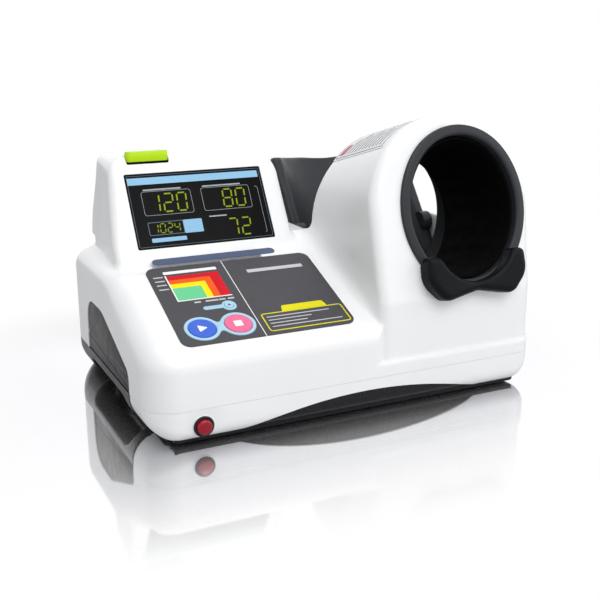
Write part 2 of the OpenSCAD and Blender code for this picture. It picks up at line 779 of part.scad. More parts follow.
module power_rocker() {
  color(black) translate([rocker_x, rear_y - 9, rear_panel_z]) rotate([rocker_tilt, 0, 0]) {
    along_x(-rocker_w / 2, rocker_w / 2) intersection() {
      circle(rocker_h / 2 - 0.3);
      translate([-3.5, -rocker_h]) square([10, 2 * rocker_h]);
    }
    rod_x(-rocker_w / 2 - 1.4, rocker_w / 2 + 1.4, 0, 0, 1.5);
  }
}
module data_port() {
  color(steel) difference() {
    union() {
      rear_box(port_x, rear_y - wall, rear_y - 1.5, port_w + 4, port_h + 4);
      rear_box(port_x, rear_y - wall - port_depth, rear_y - wall, port_w, port_h);
    }
    rear_box(port_x, rear_y - wall - port_depth + 3, rear_y, port_w - 3, port_h - 3);
  }
}

// ---- display ------------------------------------------------------------------
frame_t = 6;
frame_lip = 7;
window_recess = 0.3;
module screen_box(d, z0, z1) {
  block([-screen_w / 2 + d, screen_low + d, z0], [screen_w / 2 - d, screen_low + screen_h - d, z1]);
}
module display_window() {
  color(black) on_screen() screen_box(0, -wall, -window_recess);
}
module display_frame() {
  color(dark) on_screen() difference() {
    screen_box(-frame_lip, -wall - frame_t, -wall);
    screen_box(frame_lip, -wall - frame_t - 1, 0);
  }
}
module display_board() {
  color(green_board) on_screen() union() {
    screen_box(-frame_lip + 2, -wall - frame_t - board_t, -wall - frame_t);
    screen_box(frame_lip + gap, -wall - frame_t, -wall - 1);
    for (x = [-0.3, 0.3])
      block([x * screen_w - 18, screen_low + screen_h / 2 - 8, -wall - frame_t - board_t - 3],
            [x * screen_w + 18, screen_low + screen_h / 2 + 8, -wall - frame_t - board_t]);
  }
}

// ---- deck panels and keys -------------------------------------------------------
strip_s = crease_s - 12.5;
title_h = 7;
title_t = 0.8;
surround_band = 4.5;
feed_band = 3.5;
surround_rise = 0.6;
key_proud = 2.2;
split_gap = 1;
panel_x1 = panel_x0 + panel_split;
panel_end = panel_x0 + panel_w;

module title_strip() {
  r = title_h / 2;
  x0 = tower_x0 + 40;
  x1 = tower_x1 - 38;
  color([0.3, 0.36, 0.47]) on_deck() along_z(0, title_t)
    soft(box_outline(x0, strip_s, x1, strip_s + title_h, r - 0.01));
}
module surround_shape(d) {
  bridge = 12;
  union() {
    translate([start_x, button_s]) circle(button_r + surround_band + d);
    translate([stop_x, button_s]) circle(button_r + surround_band + d);
    translate([start_x, button_s - bridge / 2 - d]) square([button_pitch, bridge + 2 * d]);
  }
}
module feed_shape(d) {
  union() {
    translate([feed_x, feed_s]) circle(feed_r + feed_band + d);
    translate([feed_x - 32 - d, feed_s - 2.5 - d]) square([32, 5 + 2 * d]);
  }
}
module key_panel() {
  s1 = panel_s0 + panel_l;
  color(dark) on_deck() along_z(0, panel_t) difference() {
    soft([[panel_x0, panel_s0, panel_r], [panel_x1 - split_gap / 2, panel_s0, 0],
          [panel_x1 - split_gap / 2, s1, 0], [panel_x0, s1, panel_r]]);
    surround_shape(gap / 2);
    feed_shape(gap / 2);
  }
}
module guide_panel() {
  s1 = panel_s0 + panel_l;
  color(dark) on_deck() along_z(0, panel_t)
    soft([[panel_x1 + split_gap / 2, panel_s0, 0], [panel_end, panel_s0, panel_r],
          [panel_end, s1, panel_r], [panel_x1 + split_gap / 2, s1, 0]]);
}
module button_surround() {
  color([0.62, 0.8, 0.92]) on_deck() along_z(0, panel_t + surround_rise) difference() {
    union() {
      surround_shape(0);
      feed_shape(0);
    }
    translate([start_x, button_s]) circle(button_r + button_fit);
    translate([stop_x, button_s]) circle(button_r + button_fit);
    translate([feed_x, feed_s]) circle(feed_r + button_fit);
  }
}
module deck_button(x, s, r) {
  on_deck() union() {
    rod_z(x, s, -wall - seat - flange_t, key_proud, r);
    rod_z(x, s, -wall - seat - flange_t, -wall - seat, r + flange_w);
  }
}
module start_button() { color([0.2, 0.4, 0.8]) deck_button(start_x, button_s, button_r); }
module stop_button() { color([0.92, 0.45, 0.6]) deck_button(stop_x, button_s, button_r); }
module feed_button() { color([0.92, 0.92, 0.9]) deck_button(feed_x, feed_s, feed_r); }
module key_board() {
  color(green_board) on_deck() union() {
    block([key_board_lo[0], key_board_lo[1], board_z - board_t], [key_board_hi[0], key_board_hi[1], board_z]);
    for (p = [[start_x, button_s], [stop_x, button_s], [feed_x, feed_s]])
      block([p[0] - 3, p[1] - 3, board_z], [p[0] + 3, p[1] + 3, switch_z]);
  }
}

// ---- emergency stop -------------------------------------------------------------
collar_t = 1.5;
boss_proud = 0.6;
dome_end = 12;
dome_flange_r = 11;
switch_box_l = 14;
module turned_y(x, z) { translate([x, front_y, z]) rotate([-90, 0, 0]) rotate_extrude() children(); }
module emergency_collar() {
  color(dark) difference() {
    union() {
      rod_y(stop_cx, front_y - boss_proud - collar_t, front_y - boss_proud, stop_cz, collar_r);
      rod_y(stop_cx, front_y - boss_proud, front_y + sleeve_end, stop_cz, sleeve_r);
    }
    rod_y(stop_cx, front_y - 4, front_y + over, stop_cz, stop_dome_r + button_fit);
  }
}
module emergency_button() {
  color([0.75, 0.02, 0.12]) turned_y(stop_cx, stop_cz) union() {
    soft([[0, -stop_proud, 0], [stop_dome_r, -stop_proud, 4], [stop_dome_r, dome_end, 0], [0, dome_end, 0]]);
    translate([0, sleeve_end + seat]) square([dome_flange_r, flange_t]);
  }
}
module emergency_switch() {
  y0 = dome_end + stop_travel + seat;
  color(dark) union() {
    block([stop_cx - 9, at_y(y0), floor_top], [stop_cx + 9, at_y(y0 + switch_box_l), stop_cz + stop_dome_r]);
    block([stop_cx - 14, at_y(y0), floor_top], [stop_cx + 14, at_y(y0 + switch_box_l), floor_top + 2]);
  }
}

// ---- printer ---------------------------------------------------------------------
lid_t = 2.4;
bucket_wall = 2;
bucket_in = lid_w / 2 - 3;
bucket_floor = -56;
spindle_r = 5;
spindle_y = lid_start + 46;
spindle_z = -roll_r - 10;
platen_y = lid_start + 12;
platen_z = -13;
platen_shaft_r = 2.5;
hinge_z = -hinge_r;
module on_release() { on_top() translate([release_x - lid_x, 0, 0]) children(); }
module lid_release() {
  color([0.6, 0.8, 0.05]) on_release() union() {
    along_x(-release_w / 2, release_w / 2)
      soft([[release_y0, -release_drop, 0], [release_y1, -release_drop, 0],
            [release_y1, release_rise, 2.5], [release_y0, release_rise, 2.5]]);
    block([-release_w / 4, release_y1 - 1, -wall - seat - flange_t],
          [release_w / 4, release_y1 + 4.5, -wall - seat]);
  }
}
module printer_lid() {
  color(white) union() {
    intersection() {
      difference() {
        tower_form(0);
        tower_form(lid_t);
      }
      on_top() block([-lid_w / 2, lid_start, -wall], [lid_w / 2, hinge_y, over]);
    }
    on_top() {
      rod_x(-bucket_in + gap, bucket_in - gap, hinge_y, hinge_z, hinge_r - 0.2);
      rod_x(-bucket_in - bucket_wall, bucket_in + bucket_wall, hinge_y, hinge_z, hinge_pin_r);
    }
  }
}
module printer_frame() {
  y0 = lid_start + 0.5;
  y1 = lid_start + lid_l + 3;
  out = bucket_in + bucket_wall;
  color(dark) difference() {
    intersection() {
      tower_form(wall + seat);
      on_top() union() {
        difference() {
          block([-out, y0, bucket_floor - bucket_wall], [out, y1, over]);
          block([-bucket_in, y0 + bucket_wall, bucket_floor], [bucket_in, y1 - bucket_wall, over + 1]);
        }
        for (side = [-1, 1]) mirror([side < 0 ? 1 : 0, 0, 0])
          block([out - 1, y0, -wall - 6], [lid_w / 2 + 7, hinge_y - hinge_r, over]);
      }
    }
    on_top() {
      difference() {
        block([-lid_w, hinge_y - hinge_r, hinge_z], [lid_w, y1 - bucket_wall, over]);
        rod_x(-lid_w, lid_w, hinge_y, hinge_z, hinge_pin_r + 1.4);
      }
      block([-lid_w / 2 - gap, y0 - 1, -wall - seat - gap], [lid_w / 2 + gap, y1 - bucket_wall, over]);
      rod_x(-lid_w, lid_w, hinge_y, hinge_z, hinge_pin_r + shaft_play);
      rod_x(-lid_w, lid_w, spindle_y, spindle_z, spindle_r + 0.05);
      rod_x(-lid_w, lid_w, platen_y, platen_z, platen_shaft_r + shaft_play);
    }
  }
}
module platen_roller() {
  color(black) on_top() union() {
    rod_x(-paper_w / 2 - 1, paper_w / 2 + 1, platen_y, platen_z, platen_r);
    rod_x(-bucket_in - bucket_wall, bucket_in + bucket_wall, platen_y, platen_z, platen_shaft_r);
  }
}
module paper_roll() {
  color([0.97, 0.97, 0.95]) on_top() difference() {
    rod_x(-paper_w / 2, paper_w / 2, spindle_y, spindle_z, roll_r);
    rod_x(-paper_w, paper_w, spindle_y, spindle_z, spindle_r + shaft_play);
  }
}
module roll_spindle() {
  color(steel) on_top() rod_x(-bucket_in - bucket_wall, bucket_in + bucket_wall, spindle_y, spindle_z, spindle_r);
}

// ---- tunnel: rings, drum, bladder, sleeve, pad ------------------------------------
socket_y0 = 14;
socket_y1 = 22;
drum_inset = 9;
drum_end = tunnel_d - 50;
drum_in = drum_inset + drum_wall;
bladder_in = drum_in + seat + bladder_t;
sleeve_out = bladder_in + seat;
sleeve_in = sleeve_out + sleeve_t;
rear_proud = 3;
module tube_y(y0, y1, d_out, d_in) {
  along_y(y0, y1) difference() {
    oval(d_out);
    oval(d_in);
  }
}
module entry_ring() {
  color(dark) on_tunnel() union() {
    tube_y(-ring_proud, 0, 0, ring_band);
    tube_y(0, socket_y0, ring_fit, ring_band);
    tube_y(socket_y0, socket_y1, ring_fit, drum_inset - seat);
  }
}
module rear_ring() {
  socket = drum_end - (socket_y1 - socket_y0);
  color(dark) difference() {
    union() {
      intersection() {
        on_tunnel() along_y(socket, 2 * drum_end) oval(ring_fit);
        block([0, front_y, 0], [right_x, at_y(tunnel_d), ridge_z + over]);
      }
      intersection() {
        on_tunnel() along_y(0, 2 * drum_end) oval(0);
        block([0, at_y(tunnel_d), 0], [right_x, at_y(tunnel_d) + rear_proud, ridge_z + 2 * over]);
      }
    }
    on_tunnel() along_y(0, drum_end) oval(drum_inset - seat);
    on_tunnel() along_y(0, 3 * drum_end) oval(ring_band);
  }
}
gear_x = 100;
strap_x = gear_x - spool_r - 1;
gear_z = 42;
spool_y0 = 70;
strap_t = 1;
strap_top_z = 168;
spool_y1 = spool_y0 + strap_w + 2;
hose_r = 4;
port_y = 122;
module cuff_drum() {
  color(white) difference() {
    on_tunnel() tube_y(socket_y0, drum_end, drum_inset, drum_in);
    block([strap_x - strap_t / 2 - 0.5, at_y(spool_y0 + 0.5), gear_z],
          [strap_x + strap_t / 2 + 0.5, at_y(spool_y1 - 0.5), axis_z]);
    on_tunnel() rod_z(0, port_y, -ring_hh, 0, hose_r + seat);
  }
}
module air_bladder() {
  color([0.5, 0.52, 0.5]) on_tunnel() union() {
    tube_y(socket_y0 + 2, drum_end - 2, drum_in + seat, bladder_in);
    difference() {
      rod_z(0, port_y, -ring_hh + 1, -ring_hh + bladder_in - 1, hose_r);
      rod_z(0, port_y, -ring_hh, -ring_hh + bladder_in - 2, hose_r - 1.5);
    }
  }
}
module cuff_sleeve() {
  hem = 2.2;
  color([0.05, 0.05, 0.06]) on_tunnel() union() {
    tube_y(socket_y0 + 1, drum_end - 1, sleeve_out, sleeve_in);
    tube_y(socket_y0 - hem, socket_y0 + 1, ring_band + seat, sleeve_in);
    tube_y(4, socket_y0 - hem, ring_band + seat, ring_band + seat + hem);
  }
}
module arm_pad() {
  arc_r = 58.5;
  top = -ring_hh + 10;
  color([0.12, 0.13, 0.15]) on_tunnel() difference() {
    along_y(-pad_proud, -seat) difference() {
      soft(pad_outline);
      translate([0, top + arc_r]) circle(arc_r, $fn = 96);
      translate([-54, top + arc_r - 22]) square([108, 2 * arc_r]);
    }
    difference() {
      along_y(-ring_proud - seat, over) oval(-seat);
      along_y(-ring_proud - seat - 1, over) oval(ring_band + seat);
    }
  }
}
plate_t = 0.8;
module guide_plate() {
  lo = -46;
  hi = -12;
  r = 2 * arch_r;
  color(white) on_tunnel(arch_x) along_y(18, drum_end - 2) intersection() {
    difference() {
      circle(arch_r + 0.1 + plate_t, $fn = 96);
      circle(arch_r + 0.1, $fn = 96);
    }
    polygon([[0, 0], [r * sin(lo), r * cos(lo)], [r * sin(hi), r * cos(hi)]]);
  }
}

// ---- elbow rest ---------------------------------------------------------------------
elbow_low = -65;
elbow_top = 122;
elbow_top_slant = 22;
elbow_boss_r = 14;
elbow_pin_l = 9;
module elbow_rest() {
  color(dark) on_elbow() difference() {
    union() {
      intersection() {
        difference() {
          union() {
            intersection() {
              along_y(elbow_low, 2 * elbow_top) translate([0, elbow_arc_z])
                circle(elbow_arc_r + elbow_t, $fn = 96);
              block([-elbow_hw, elbow_low, -body_w], [elbow_hw, 2 * elbow_top, -0.01]);
            }
            block([-elbow_hw, elbow_low, -elbow_t], [elbow_hw, 2 * elbow_top, 0]);
          }
          along_y(elbow_low - 1, 3 * elbow_top) translate([0, elbow_arc_z]) circle(elbow_arc_r, $fn = 96);
        }
        along_x(-body_w, body_w) polygon([[elbow_low, over], [elbow_low, -2 * elbow_sag],
          [elbow_top + elbow_top_slant - elbow_sag / 2, -2 * elbow_sag],
          [elbow_top + elbow_top_slant, -elbow_sag],
          [elbow_top - elbow_top_slant * over / elbow_sag, over]]);
      }
      for (side = [-1, 1]) mirror([side < 0 ? 1 : 0, 0, 0])
        rod_x(elbow_hw - elbow_rim - 2, elbow_hw, 0, 0, elbow_boss_r);
    }
    for (side = [-1, 1]) mirror([side < 0 ? 1 : 0, 0, 0])
      rod_x(elbow_hw - elbow_pin_l, elbow_hw + 1, 0, 0, pivot_pin_r + 0.02);
  }
}
module elbow_pivot_pins() {
  color(steel) on_elbow() for (side = [-1, 1]) mirror([side < 0 ? 1 : 0, 0, 0])
    rod_x(elbow_hw - elbow_pin_l, elbow_hw + elbow_pin_l, 0, 0, pivot_pin_r);
}
module elbow_switch() {
  n1 = -elbow_sag - elbow_t - elbow_play - wall - seat;
  color(dark) on_elbow() union() {
    block([-12, 60, n1 - 10], [12, 78, n1]);
    block([-4, 56, n1 - 7], [4, 60, n1 - 3]);
  }
}

// ---- cuff drive ----------------------------------------------------------------------
pinion_x = gear_x + gear_module * (gear_teeth + pinion_teeth) / 2;
spool_flange = 2;
spool_rim_r = 20;
shaft_r = 4;
pinion_shaft_r = 2.5;
gear_y0 = spool_y1 + spool_flange + 4;
gear_y1 = gear_y0 + gear_w;
plate_a = spool_y0 - spool_flange - 4;
plate_b = gear_y1 + 2;
plate_w = 3;
motor_r = 17;
motor_l = 45;
function gear_pts(n) = let(pr = gear_module * n / 2, root = pr - 1.1 * gear_module,
                           tip = pr + 0.7 * gear_module, w = 0.18 * PI * gear_module)
  [for (i = [0:n - 1]) for (k = [[root, -1.5], [tip, -0.6], [tip, 0.6], [root, 1.5]])
    let(a = 360 * i / n + k[1] * w / k[0] * 180 / PI) k[0] * [cos(a), sin(a)]];
module gear(n, x, z, phase) {
  translate([x, 0, z]) along_y(at_y(gear_y0), at_y(gear_y1)) rotate(phase) polygon(gear_pts(n));
}
module drive_bracket() {
  z1 = gear_z + 20;
  color(steel) difference() {
    union() {
      block([gear_x - 36, at_y(plate_a - 2), floor_top],
            [pinion_x + 22, at_y(plate_b + plate_w + motor_l), floor_top + plate_w]);
      block([gear_x - 16, at_y(plate_a - plate_w), floor_top], [gear_x + 16, at_y(plate_a), z1]);
      block([gear_x - 30, at_y(plate_b), floor_top], [pinion_x + 22, at_y(plate_b + plate_w), z1 + 2]);
    }
    rod_y(gear_x, at_y(plate_a - over), at_y(plate_b + over), gear_z, shaft_r + shaft_play);
    rod_y(pinion_x, at_y(plate_b - 1), at_y(plate_b + over), gear_z, pinion_shaft_r + 1);
  }
}
module strap_spool() {
  color(steel) union() {
    rod_y(gear_x, at_y(plate_a - plate_w), at_y(plate_b + plate_w), gear_z, shaft_r);
    rod_y(gear_x, at_y(spool_y0), at_y(spool_y1), gear_z, spool_r);
    rod_y(gear_x, at_y(spool_y0 - spool_flange), at_y(spool_y0), gear_z, spool_rim_r);
    rod_y(gear_x, at_y(spool_y1), at_y(spool_y1 + spool_flange), gear_z, spool_rim_r);
  }
}
module spool_gear() {
  color([0.85, 0.83, 0.75]) difference() {
    gear(gear_teeth, gear_x, gear_z, 0);
    rod_y(gear_x, at_y(gear_y0 - 1), at_y(gear_y1 + 1), gear_z, shaft_r + 0.03);
  }
}
module motor_pinion() {
  color(steel) union() {
    gear(pinion_teeth, pinion_x, gear_z, 180 / pinion_teeth + 180);
    rod_y(pinion_x, at_y(gear_y0), at_y(plate_b + plate_w + 12), gear_z, pinion_shaft_r);
  }
}
module wrap_motor() {
  y0 = plate_b + plate_w;
  color(dark) difference() {
    union() {
      rod_y(pinion_x, at_y(y0), at_y(y0 + motor_l), gear_z, motor_r);
      block([pinion_x - 8, at_y(y0 + 8), floor_top + plate_w], [pinion_x + 8, at_y(y0 + motor_l - 4), gear_z]);
    }
    rod_y(pinion_x, at_y(y0 - 1), at_y(y0 + 14), gear_z, pinion_shaft_r + shaft_play);
  }
}
module cuff_strap() {
  color([0.15, 0.15, 0.16]) block([strap_x - strap_t / 2, at_y(spool_y0 + 1), gear_z],
                                  [strap_x + strap_t / 2, at_y(spool_y1 - 1), strap_top_z]);
}

// ---- air system ------------------------------------------------------------------------
pump_r = 20;
pump_l = 50;
pump_x = -70;
pump_y = 300;
pump_z = 32;
valve_x = 0;
valve_y = 300;
module air_pump() {
  color(steel) union() {
    rod_x(pump_x - pump_l / 2, pump_x + pump_l / 2, at_y(pump_y), pump_z, pump_r);
    block([pump_x + pump_l / 2, at_y(pump_y - 18), pump_z - 18], [pump_x + pump_l / 2 + 14, at_y(pump_y + 18), pump_z + 18]);
  }
}
module pump_bracket() {
  color(dark) difference() {
    union() {
      block([pump_x - 28, at_y(pump_y - 30), floor_top], [pump_x + 40, at_y(pump_y + 30), floor_top + 2]);
      for (x = [-16, 10])
        block([pump_x + x, at_y(pump_y - 26), floor_top], [pump_x + x + 6, at_y(pump_y + 26), pump_z]);
    }
    rod_x(pump_x - pump_l, pump_x + pump_l, at_y(pump_y), pump_z, pump_r + 0.1);
  }
}
module exhaust_valves() {
  color(steel) union() {
    block([valve_x - 10, at_y(valve_y - 22), floor_top], [valve_x + 10, at_y(valve_y + 22), pump_z - hose_r - 4]);
    for (y = [-12, 12]) rod_z(valve_x, at_y(valve_y + y), floor_top, pump_z - 1, 7);
    block([valve_x - 9, at_y(valve_y - 6), floor_top], [valve_x + 9, at_y(valve_y + 6), pump_z + 6]);
  }
}
function tunnel_pt(y, z) = [ring_x, at_y(axis_y) + y * cos(tunnel_tilt) + z * sin(tunnel_tilt),
                            axis_z - y * sin(tunnel_tilt) + z * cos(tunnel_tilt)];
hose_a = [[pump_x + pump_l / 2 + 14, at_y(pump_y), pump_z], [valve_x - 9, at_y(pump_y), pump_z]];
hose_b = [[valve_x + 9, at_y(pump_y), pump_z], [34, at_y(pump_y), pump_z], [50, at_y(pump_y - 20), pump_z],
          [58, at_y(215), pump_z], [90, at_y(196), pump_z], [ring_x + 10, at_y(190), pump_z + 6],
          [ring_x + 18, at_y(160), pump_z + 24], tunnel_pt(port_y, -ring_hh - 18), tunnel_pt(port_y, -ring_hh + 0.7)];
hose_sides = 10;
hose_bias = [1, 2, -1];
function ring_at(p, t) = let(u = unit(cross(t, hose_bias)), v = cross(t, u))
  [for (k = [0:hose_sides - 1]) p + hose_r * (cos(360 * k / hose_sides) * u + sin(360 * k / hose_sides) * v)];
function along_at(pts, i) = let(n = len(pts) - 1)
  unit((i > 0 ? unit(pts[i] - pts[i - 1]) : [0, 0, 0]) + (i < n ? unit(pts[i + 1] - pts[i]) : [0, 0, 0]));
module swept(pts) {
  n = hose_sides;
  m = len(pts);
  polyhedron(
    points = [for (i = [0:m - 1]) each ring_at(pts[i], along_at(pts, i))],
    faces = concat(
      [[for (k = [0:n - 1]) k], [for (k = [0:n - 1]) n * m - 1 - k]],
      [for (i = [0:m - 2]) for (k = [0:n - 1]) for (h = [0, 1])
        let(a = n * i, b = a + n, q = (k + 1) % n) h == 0 ? [a + k, b + k, b + q] : [a + k, b + q, a + q]]));
}
module air_hose() {
  color([0.8, 0.8, 0.8]) {
    swept(hose_a);
    swept(hose_b);
  }
}

// ---- electronics ------------------------------------------------------------------------
supply_lo = [-224, 266];
supply_hi = [-130, 344];
supply_h = 42;
module main_board() {
  z1 = board_stand_z + board_t;
  color(green_board) difference() {
    union() {
      block([board_lo[0], at_y(board_lo[1]), board_stand_z], [board_hi[0], at_y(board_hi[1]), z1]);
      block([board_lo[0] + 30, at_y(board_lo[1] + 30), z1], [board_lo[0] + 60, at_y(board_lo[1] + 60), z1 + 3]);
      block([board_lo[0] + 90, at_y(board_lo[1] + 20), z1], [board_lo[0] + 112, at_y(board_lo[1] + 42), z1 + 3]);
      block([board_hi[0] - 40, at_y(board_hi[1] - 30), z1], [board_hi[0] - 16, at_y(board_hi[1] - 8), z1 + 12]);
      for (i = [0:3]) block([board_lo[0] + 24 + 32 * i, at_y(board_hi[1] - 10), z1],
                            [board_lo[0] + 44 + 32 * i, at_y(board_hi[1] - 3), z1 + 9]);
      for (i = [0:2]) rod_z(board_lo[0] + 130 + 14 * i, at_y(board_lo[1] + 22), z1, z1 + 14, 5);
    }
    for (p = standoffs) rod_z(p[0], at_y(p[1]), board_stand_z - 1, z1 + 1, 1.6);
  }
}
module power_supply() {
  color(steel) union() {
    block([supply_lo[0], at_y(supply_lo[1]), floor_top], [supply_hi[0], at_y(supply_hi[1]), floor_top + supply_h]);
    for (y = [supply_lo[1] + 10, supply_hi[1] - 22])
      block([supply_hi[0], at_y(y), floor_top], [supply_hi[0] + 10, at_y(y + 12), floor_top + 2]);
  }
}
module loudspeaker() {
  color(black) translate([speaker_x, at_y(speaker_y), floor_top]) rotate_extrude()
    polygon([[0, 2], [speaker_r - 4, 0], [speaker_r, 0], [speaker_r, 3], [speaker_r - 8, 12],
             [speaker_r - 10, 12], [speaker_r - 10, 20], [0, 20]]);
}

base_tray();
front_bumper();
upper_casing();
left_side_cover();
right_side_cover();
rear_panel();
display_window();
display_frame();
display_board();
title_strip();
key_panel();
guide_panel();
button_surround();
start_button();
stop_button();
feed_button();
key_board();
emergency_collar();
emergency_button();
emergency_switch();
lid_release();
printer_lid();
printer_frame();
platen_roller();
paper_roll();
roll_spindle();
entry_ring();
rear_ring();
cuff_drum();
air_bladder();
cuff_sleeve();
arm_pad();
guide_plate();
elbow_rest();
elbow_pivot_pins();
elbow_switch();
drive_bracket();
strap_spool();
spool_gear();
motor_pinion();
wrap_motor();
cuff_strap();
air_pump();
pump_bracket();
exhaust_valves();
air_hose();
main_board();
power_supply();
loudspeaker();
power_inlet();
switch_frame();
power_rocker();
data_port();
rubber_feet();
casing_screws();
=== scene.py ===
import math

import bmesh
import bpy
import numpy as np
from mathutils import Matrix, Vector


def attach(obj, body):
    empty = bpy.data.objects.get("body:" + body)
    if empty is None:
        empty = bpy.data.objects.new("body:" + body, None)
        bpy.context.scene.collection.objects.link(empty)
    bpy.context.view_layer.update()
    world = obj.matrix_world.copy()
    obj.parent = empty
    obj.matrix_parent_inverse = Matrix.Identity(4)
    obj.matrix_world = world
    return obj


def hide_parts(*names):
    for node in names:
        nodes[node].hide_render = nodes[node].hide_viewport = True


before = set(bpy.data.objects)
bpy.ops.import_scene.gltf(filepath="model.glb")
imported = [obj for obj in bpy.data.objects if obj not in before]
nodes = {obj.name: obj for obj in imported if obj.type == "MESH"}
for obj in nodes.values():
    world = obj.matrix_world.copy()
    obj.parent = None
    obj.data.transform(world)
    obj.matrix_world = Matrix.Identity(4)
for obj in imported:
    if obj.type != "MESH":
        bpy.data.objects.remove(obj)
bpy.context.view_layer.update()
scene = bpy.context.scene

# ---- sizes in millimetres, from the front plane of the casing
MM = 0.001
FRONT = -182.918
HALF_W = 264.0
DEPTH = 384.0
PLAN_R = 38.0
PLAN_BACK_R = 78.0
BUMPER_Y = 77.0
WALL = 3.0
SEAM_Z = 45.0
ARCH_X = 144.5
ARCH_R = 117.0
ARCH_LEFT = ARCH_X - ARCH_R
RING_X = 156.5
AXIS_Y = 30.8962
AXIS_Z = 237.0
RING_HW = 91.0
RING_HH = 102.0
CROWN_R = 86.0
CROWN_RISE = RING_HH - CROWN_R
FLANK_R = (RING_HW ** 2 + CROWN_RISE ** 2 - CROWN_R ** 2) / (2 * (RING_HW - CROWN_R))
FLANK_X = RING_HW - FLANK_R
DECK_Z = 104.5
DECK_TILT = 21.8
TUNNEL_TILT = 14.5
TOP_Y, TOP_Z, TOP_TILT = 253.313, 296.0, 4.0
STOP_X, STOP_Z = -203.0, 24.5
ELBOW_X, ELBOW_Y, ELBOW_Z, ELBOW_TILT = 139.75, 250.0, 174.0, 53.0
ELBOW_HW = 109.75
ELBOW_ARC_R = 128.7
ELBOW_ARC_N = 83.7
REAR_Z = 88.0
INLET_X, SWITCH_X, PORT_X = -153.0, -113.0, -75.0
KEYS = {"start": (-185.5, 47.5, 16.5), "stop": (-141.5, 47.5, 16.5), "feed": (-139.5, 83.0, 5.5)}
KEY_GAP = 0.35
PRINT = 0.12
SD, CD = math.sin(math.radians(DECK_TILT)), math.cos(math.radians(DECK_TILT))
ST, CT = math.sin(math.radians(TUNNEL_TILT)), math.cos(math.radians(TUNNEL_TILT))
SE, CE = math.sin(math.radians(ELBOW_TILT)), math.cos(math.radians(ELBOW_TILT))
WHITE = (1, 1, 1, 1)


class Place:
    """A local frame tilted about X: local millimetres to millimetres of the whole machine."""

    def __init__(self, x, y, z, tilt=0.0):
        c, s = math.cos(math.radians(tilt)), math.sin(math.radians(tilt))
        self.o = np.array([x, FRONT + y, z])
        self.m = np.array([[1, 0, 0], [0, c, -s], [0, s, c]])

    def __call__(self, pts):
        return np.asarray(pts, float).reshape(-1, 3) @ self.m.T + self.o


BODY = Place(0, 0, 0)
DECK = Place(0, 0, DECK_Z, DECK_TILT)
SCREEN = Place(-121, 181.983, 177.288, 59)
TUNNEL = Place(RING_X, AXIS_Y, AXIS_Z, -TUNNEL_TILT)
ARCH = Place(ARCH_X, AXIS_Y, AXIS_Z, -TUNNEL_TILT)
ELBOW = Place(ELBOW_X, ELBOW_Y, ELBOW_Z, ELBOW_TILT)
TOP = Place(-170, TOP_Y, TOP_Z, -TOP_TILT)
STOP = Place(STOP_X, 0, STOP_Z)


# ---- materials
class Graph:
    """Shader nodes of a material or of the world."""

    def __init__(self, owner):
        owner.use_nodes = True
        self.tree = owner.node_tree
        self.tree.nodes.clear()

    def add(self, kind, inputs=None, **settings):
        """Adds a node, links its inputs or sets them to plain values, and gives its outputs."""
        n = self.tree.nodes.new("ShaderNode" + kind)
        for key, value in settings.items():
            setattr(n, key, value)
        for key, value in (inputs or {}).items():
            if isinstance(value, bpy.types.NodeSocket):
                self.tree.links.new(value, n.inputs[key])
            else:
                n.inputs[key].default_value = value
        return n.outputs


def srgb(v):
    """Screen value from 0 to 255 to a linear value."""
    v = v / 255
    return v / 12.92 if v <= 0.04045 else ((v + 0.055) / 1.055) ** 2.4


M = {}


def look(key, name, colour, rough, var=0.03, rough_var=0.06, grain=0.0, grain_mm=0.4, metal=0.0, coat=0.0,
         coat_rough=0.1, sheen=0.0, spec=0.5, weave_mm=0.0, glow=0.0, brushed=None, clear=0.0, ior=1.5,
         cloud_mm=60.0):
    """Moulded, printed, woven or turned surface: its colour and gloss vary a little, with fine relief."""
    M[key] = bpy.data.materials.new(name)
    g = Graph(M[key])
    co = g.add("TexCoord")["Object"]

    def tint(gain):
        return [min(1.0, srgb(v) * gain) for v in colour] + [1]

    def noise(mm, detail=3.0, scale=None):
        at = g.add("Mapping", {0: co, "Scale": scale})[0] if scale else co
        return g.add("TexNoise", {"Vector": at, "Scale": 1000.0 / mm, "Detail": detail})["Fac"]

    def spread(source, lo, hi):
        return g.add("MapRange", {0: source, "From Min": 0.3, "From Max": 0.7, "To Min": lo, "To Max": hi})[0]

    shades = {"A": tint(1 - var), "B": tint(1 + var), "Factor": spread(noise(cloud_mm), 0, 1)}
    surface = {
        "Base Color": g.add("Mix", shades, data_type="RGBA")["Result"],
        "Roughness": spread(noise(cloud_mm / 4), max(0.02, rough - rough_var), min(1.0, rough + rough_var)),
        "Metallic": metal, "Coat Weight": coat, "Coat Roughness": coat_rough, "Sheen Weight": sheen,
        "Specular IOR Level": spec, "Transmission Weight": clear, "IOR": ior}
    if weave_mm:
        bands = {"Vector": co, "Scale": 314.0 / weave_mm, "Distortion": 1.2, "Detail": 1.0}
        waves = [g.add("TexWave", bands, wave_type="BANDS", bands_direction=d)["Fac"] for d in "XZ"]
        relief = g.add("Math", dict(enumerate(waves)), operation="ADD")[0]
    elif grain:
        relief = noise(grain_mm, 2.0, brushed)
    if weave_mm or grain:
        surface["Normal"] = g.add("Bump", {"Height": relief, "Strength": grain, "Distance": 0.0002})[0]
    if glow:
        surface.update({"Emission Color": tint(1), "Emission Strength": glow})
    g.add("OutputMaterial", {0: g.add("BsdfPrincipled", surface)[0]})


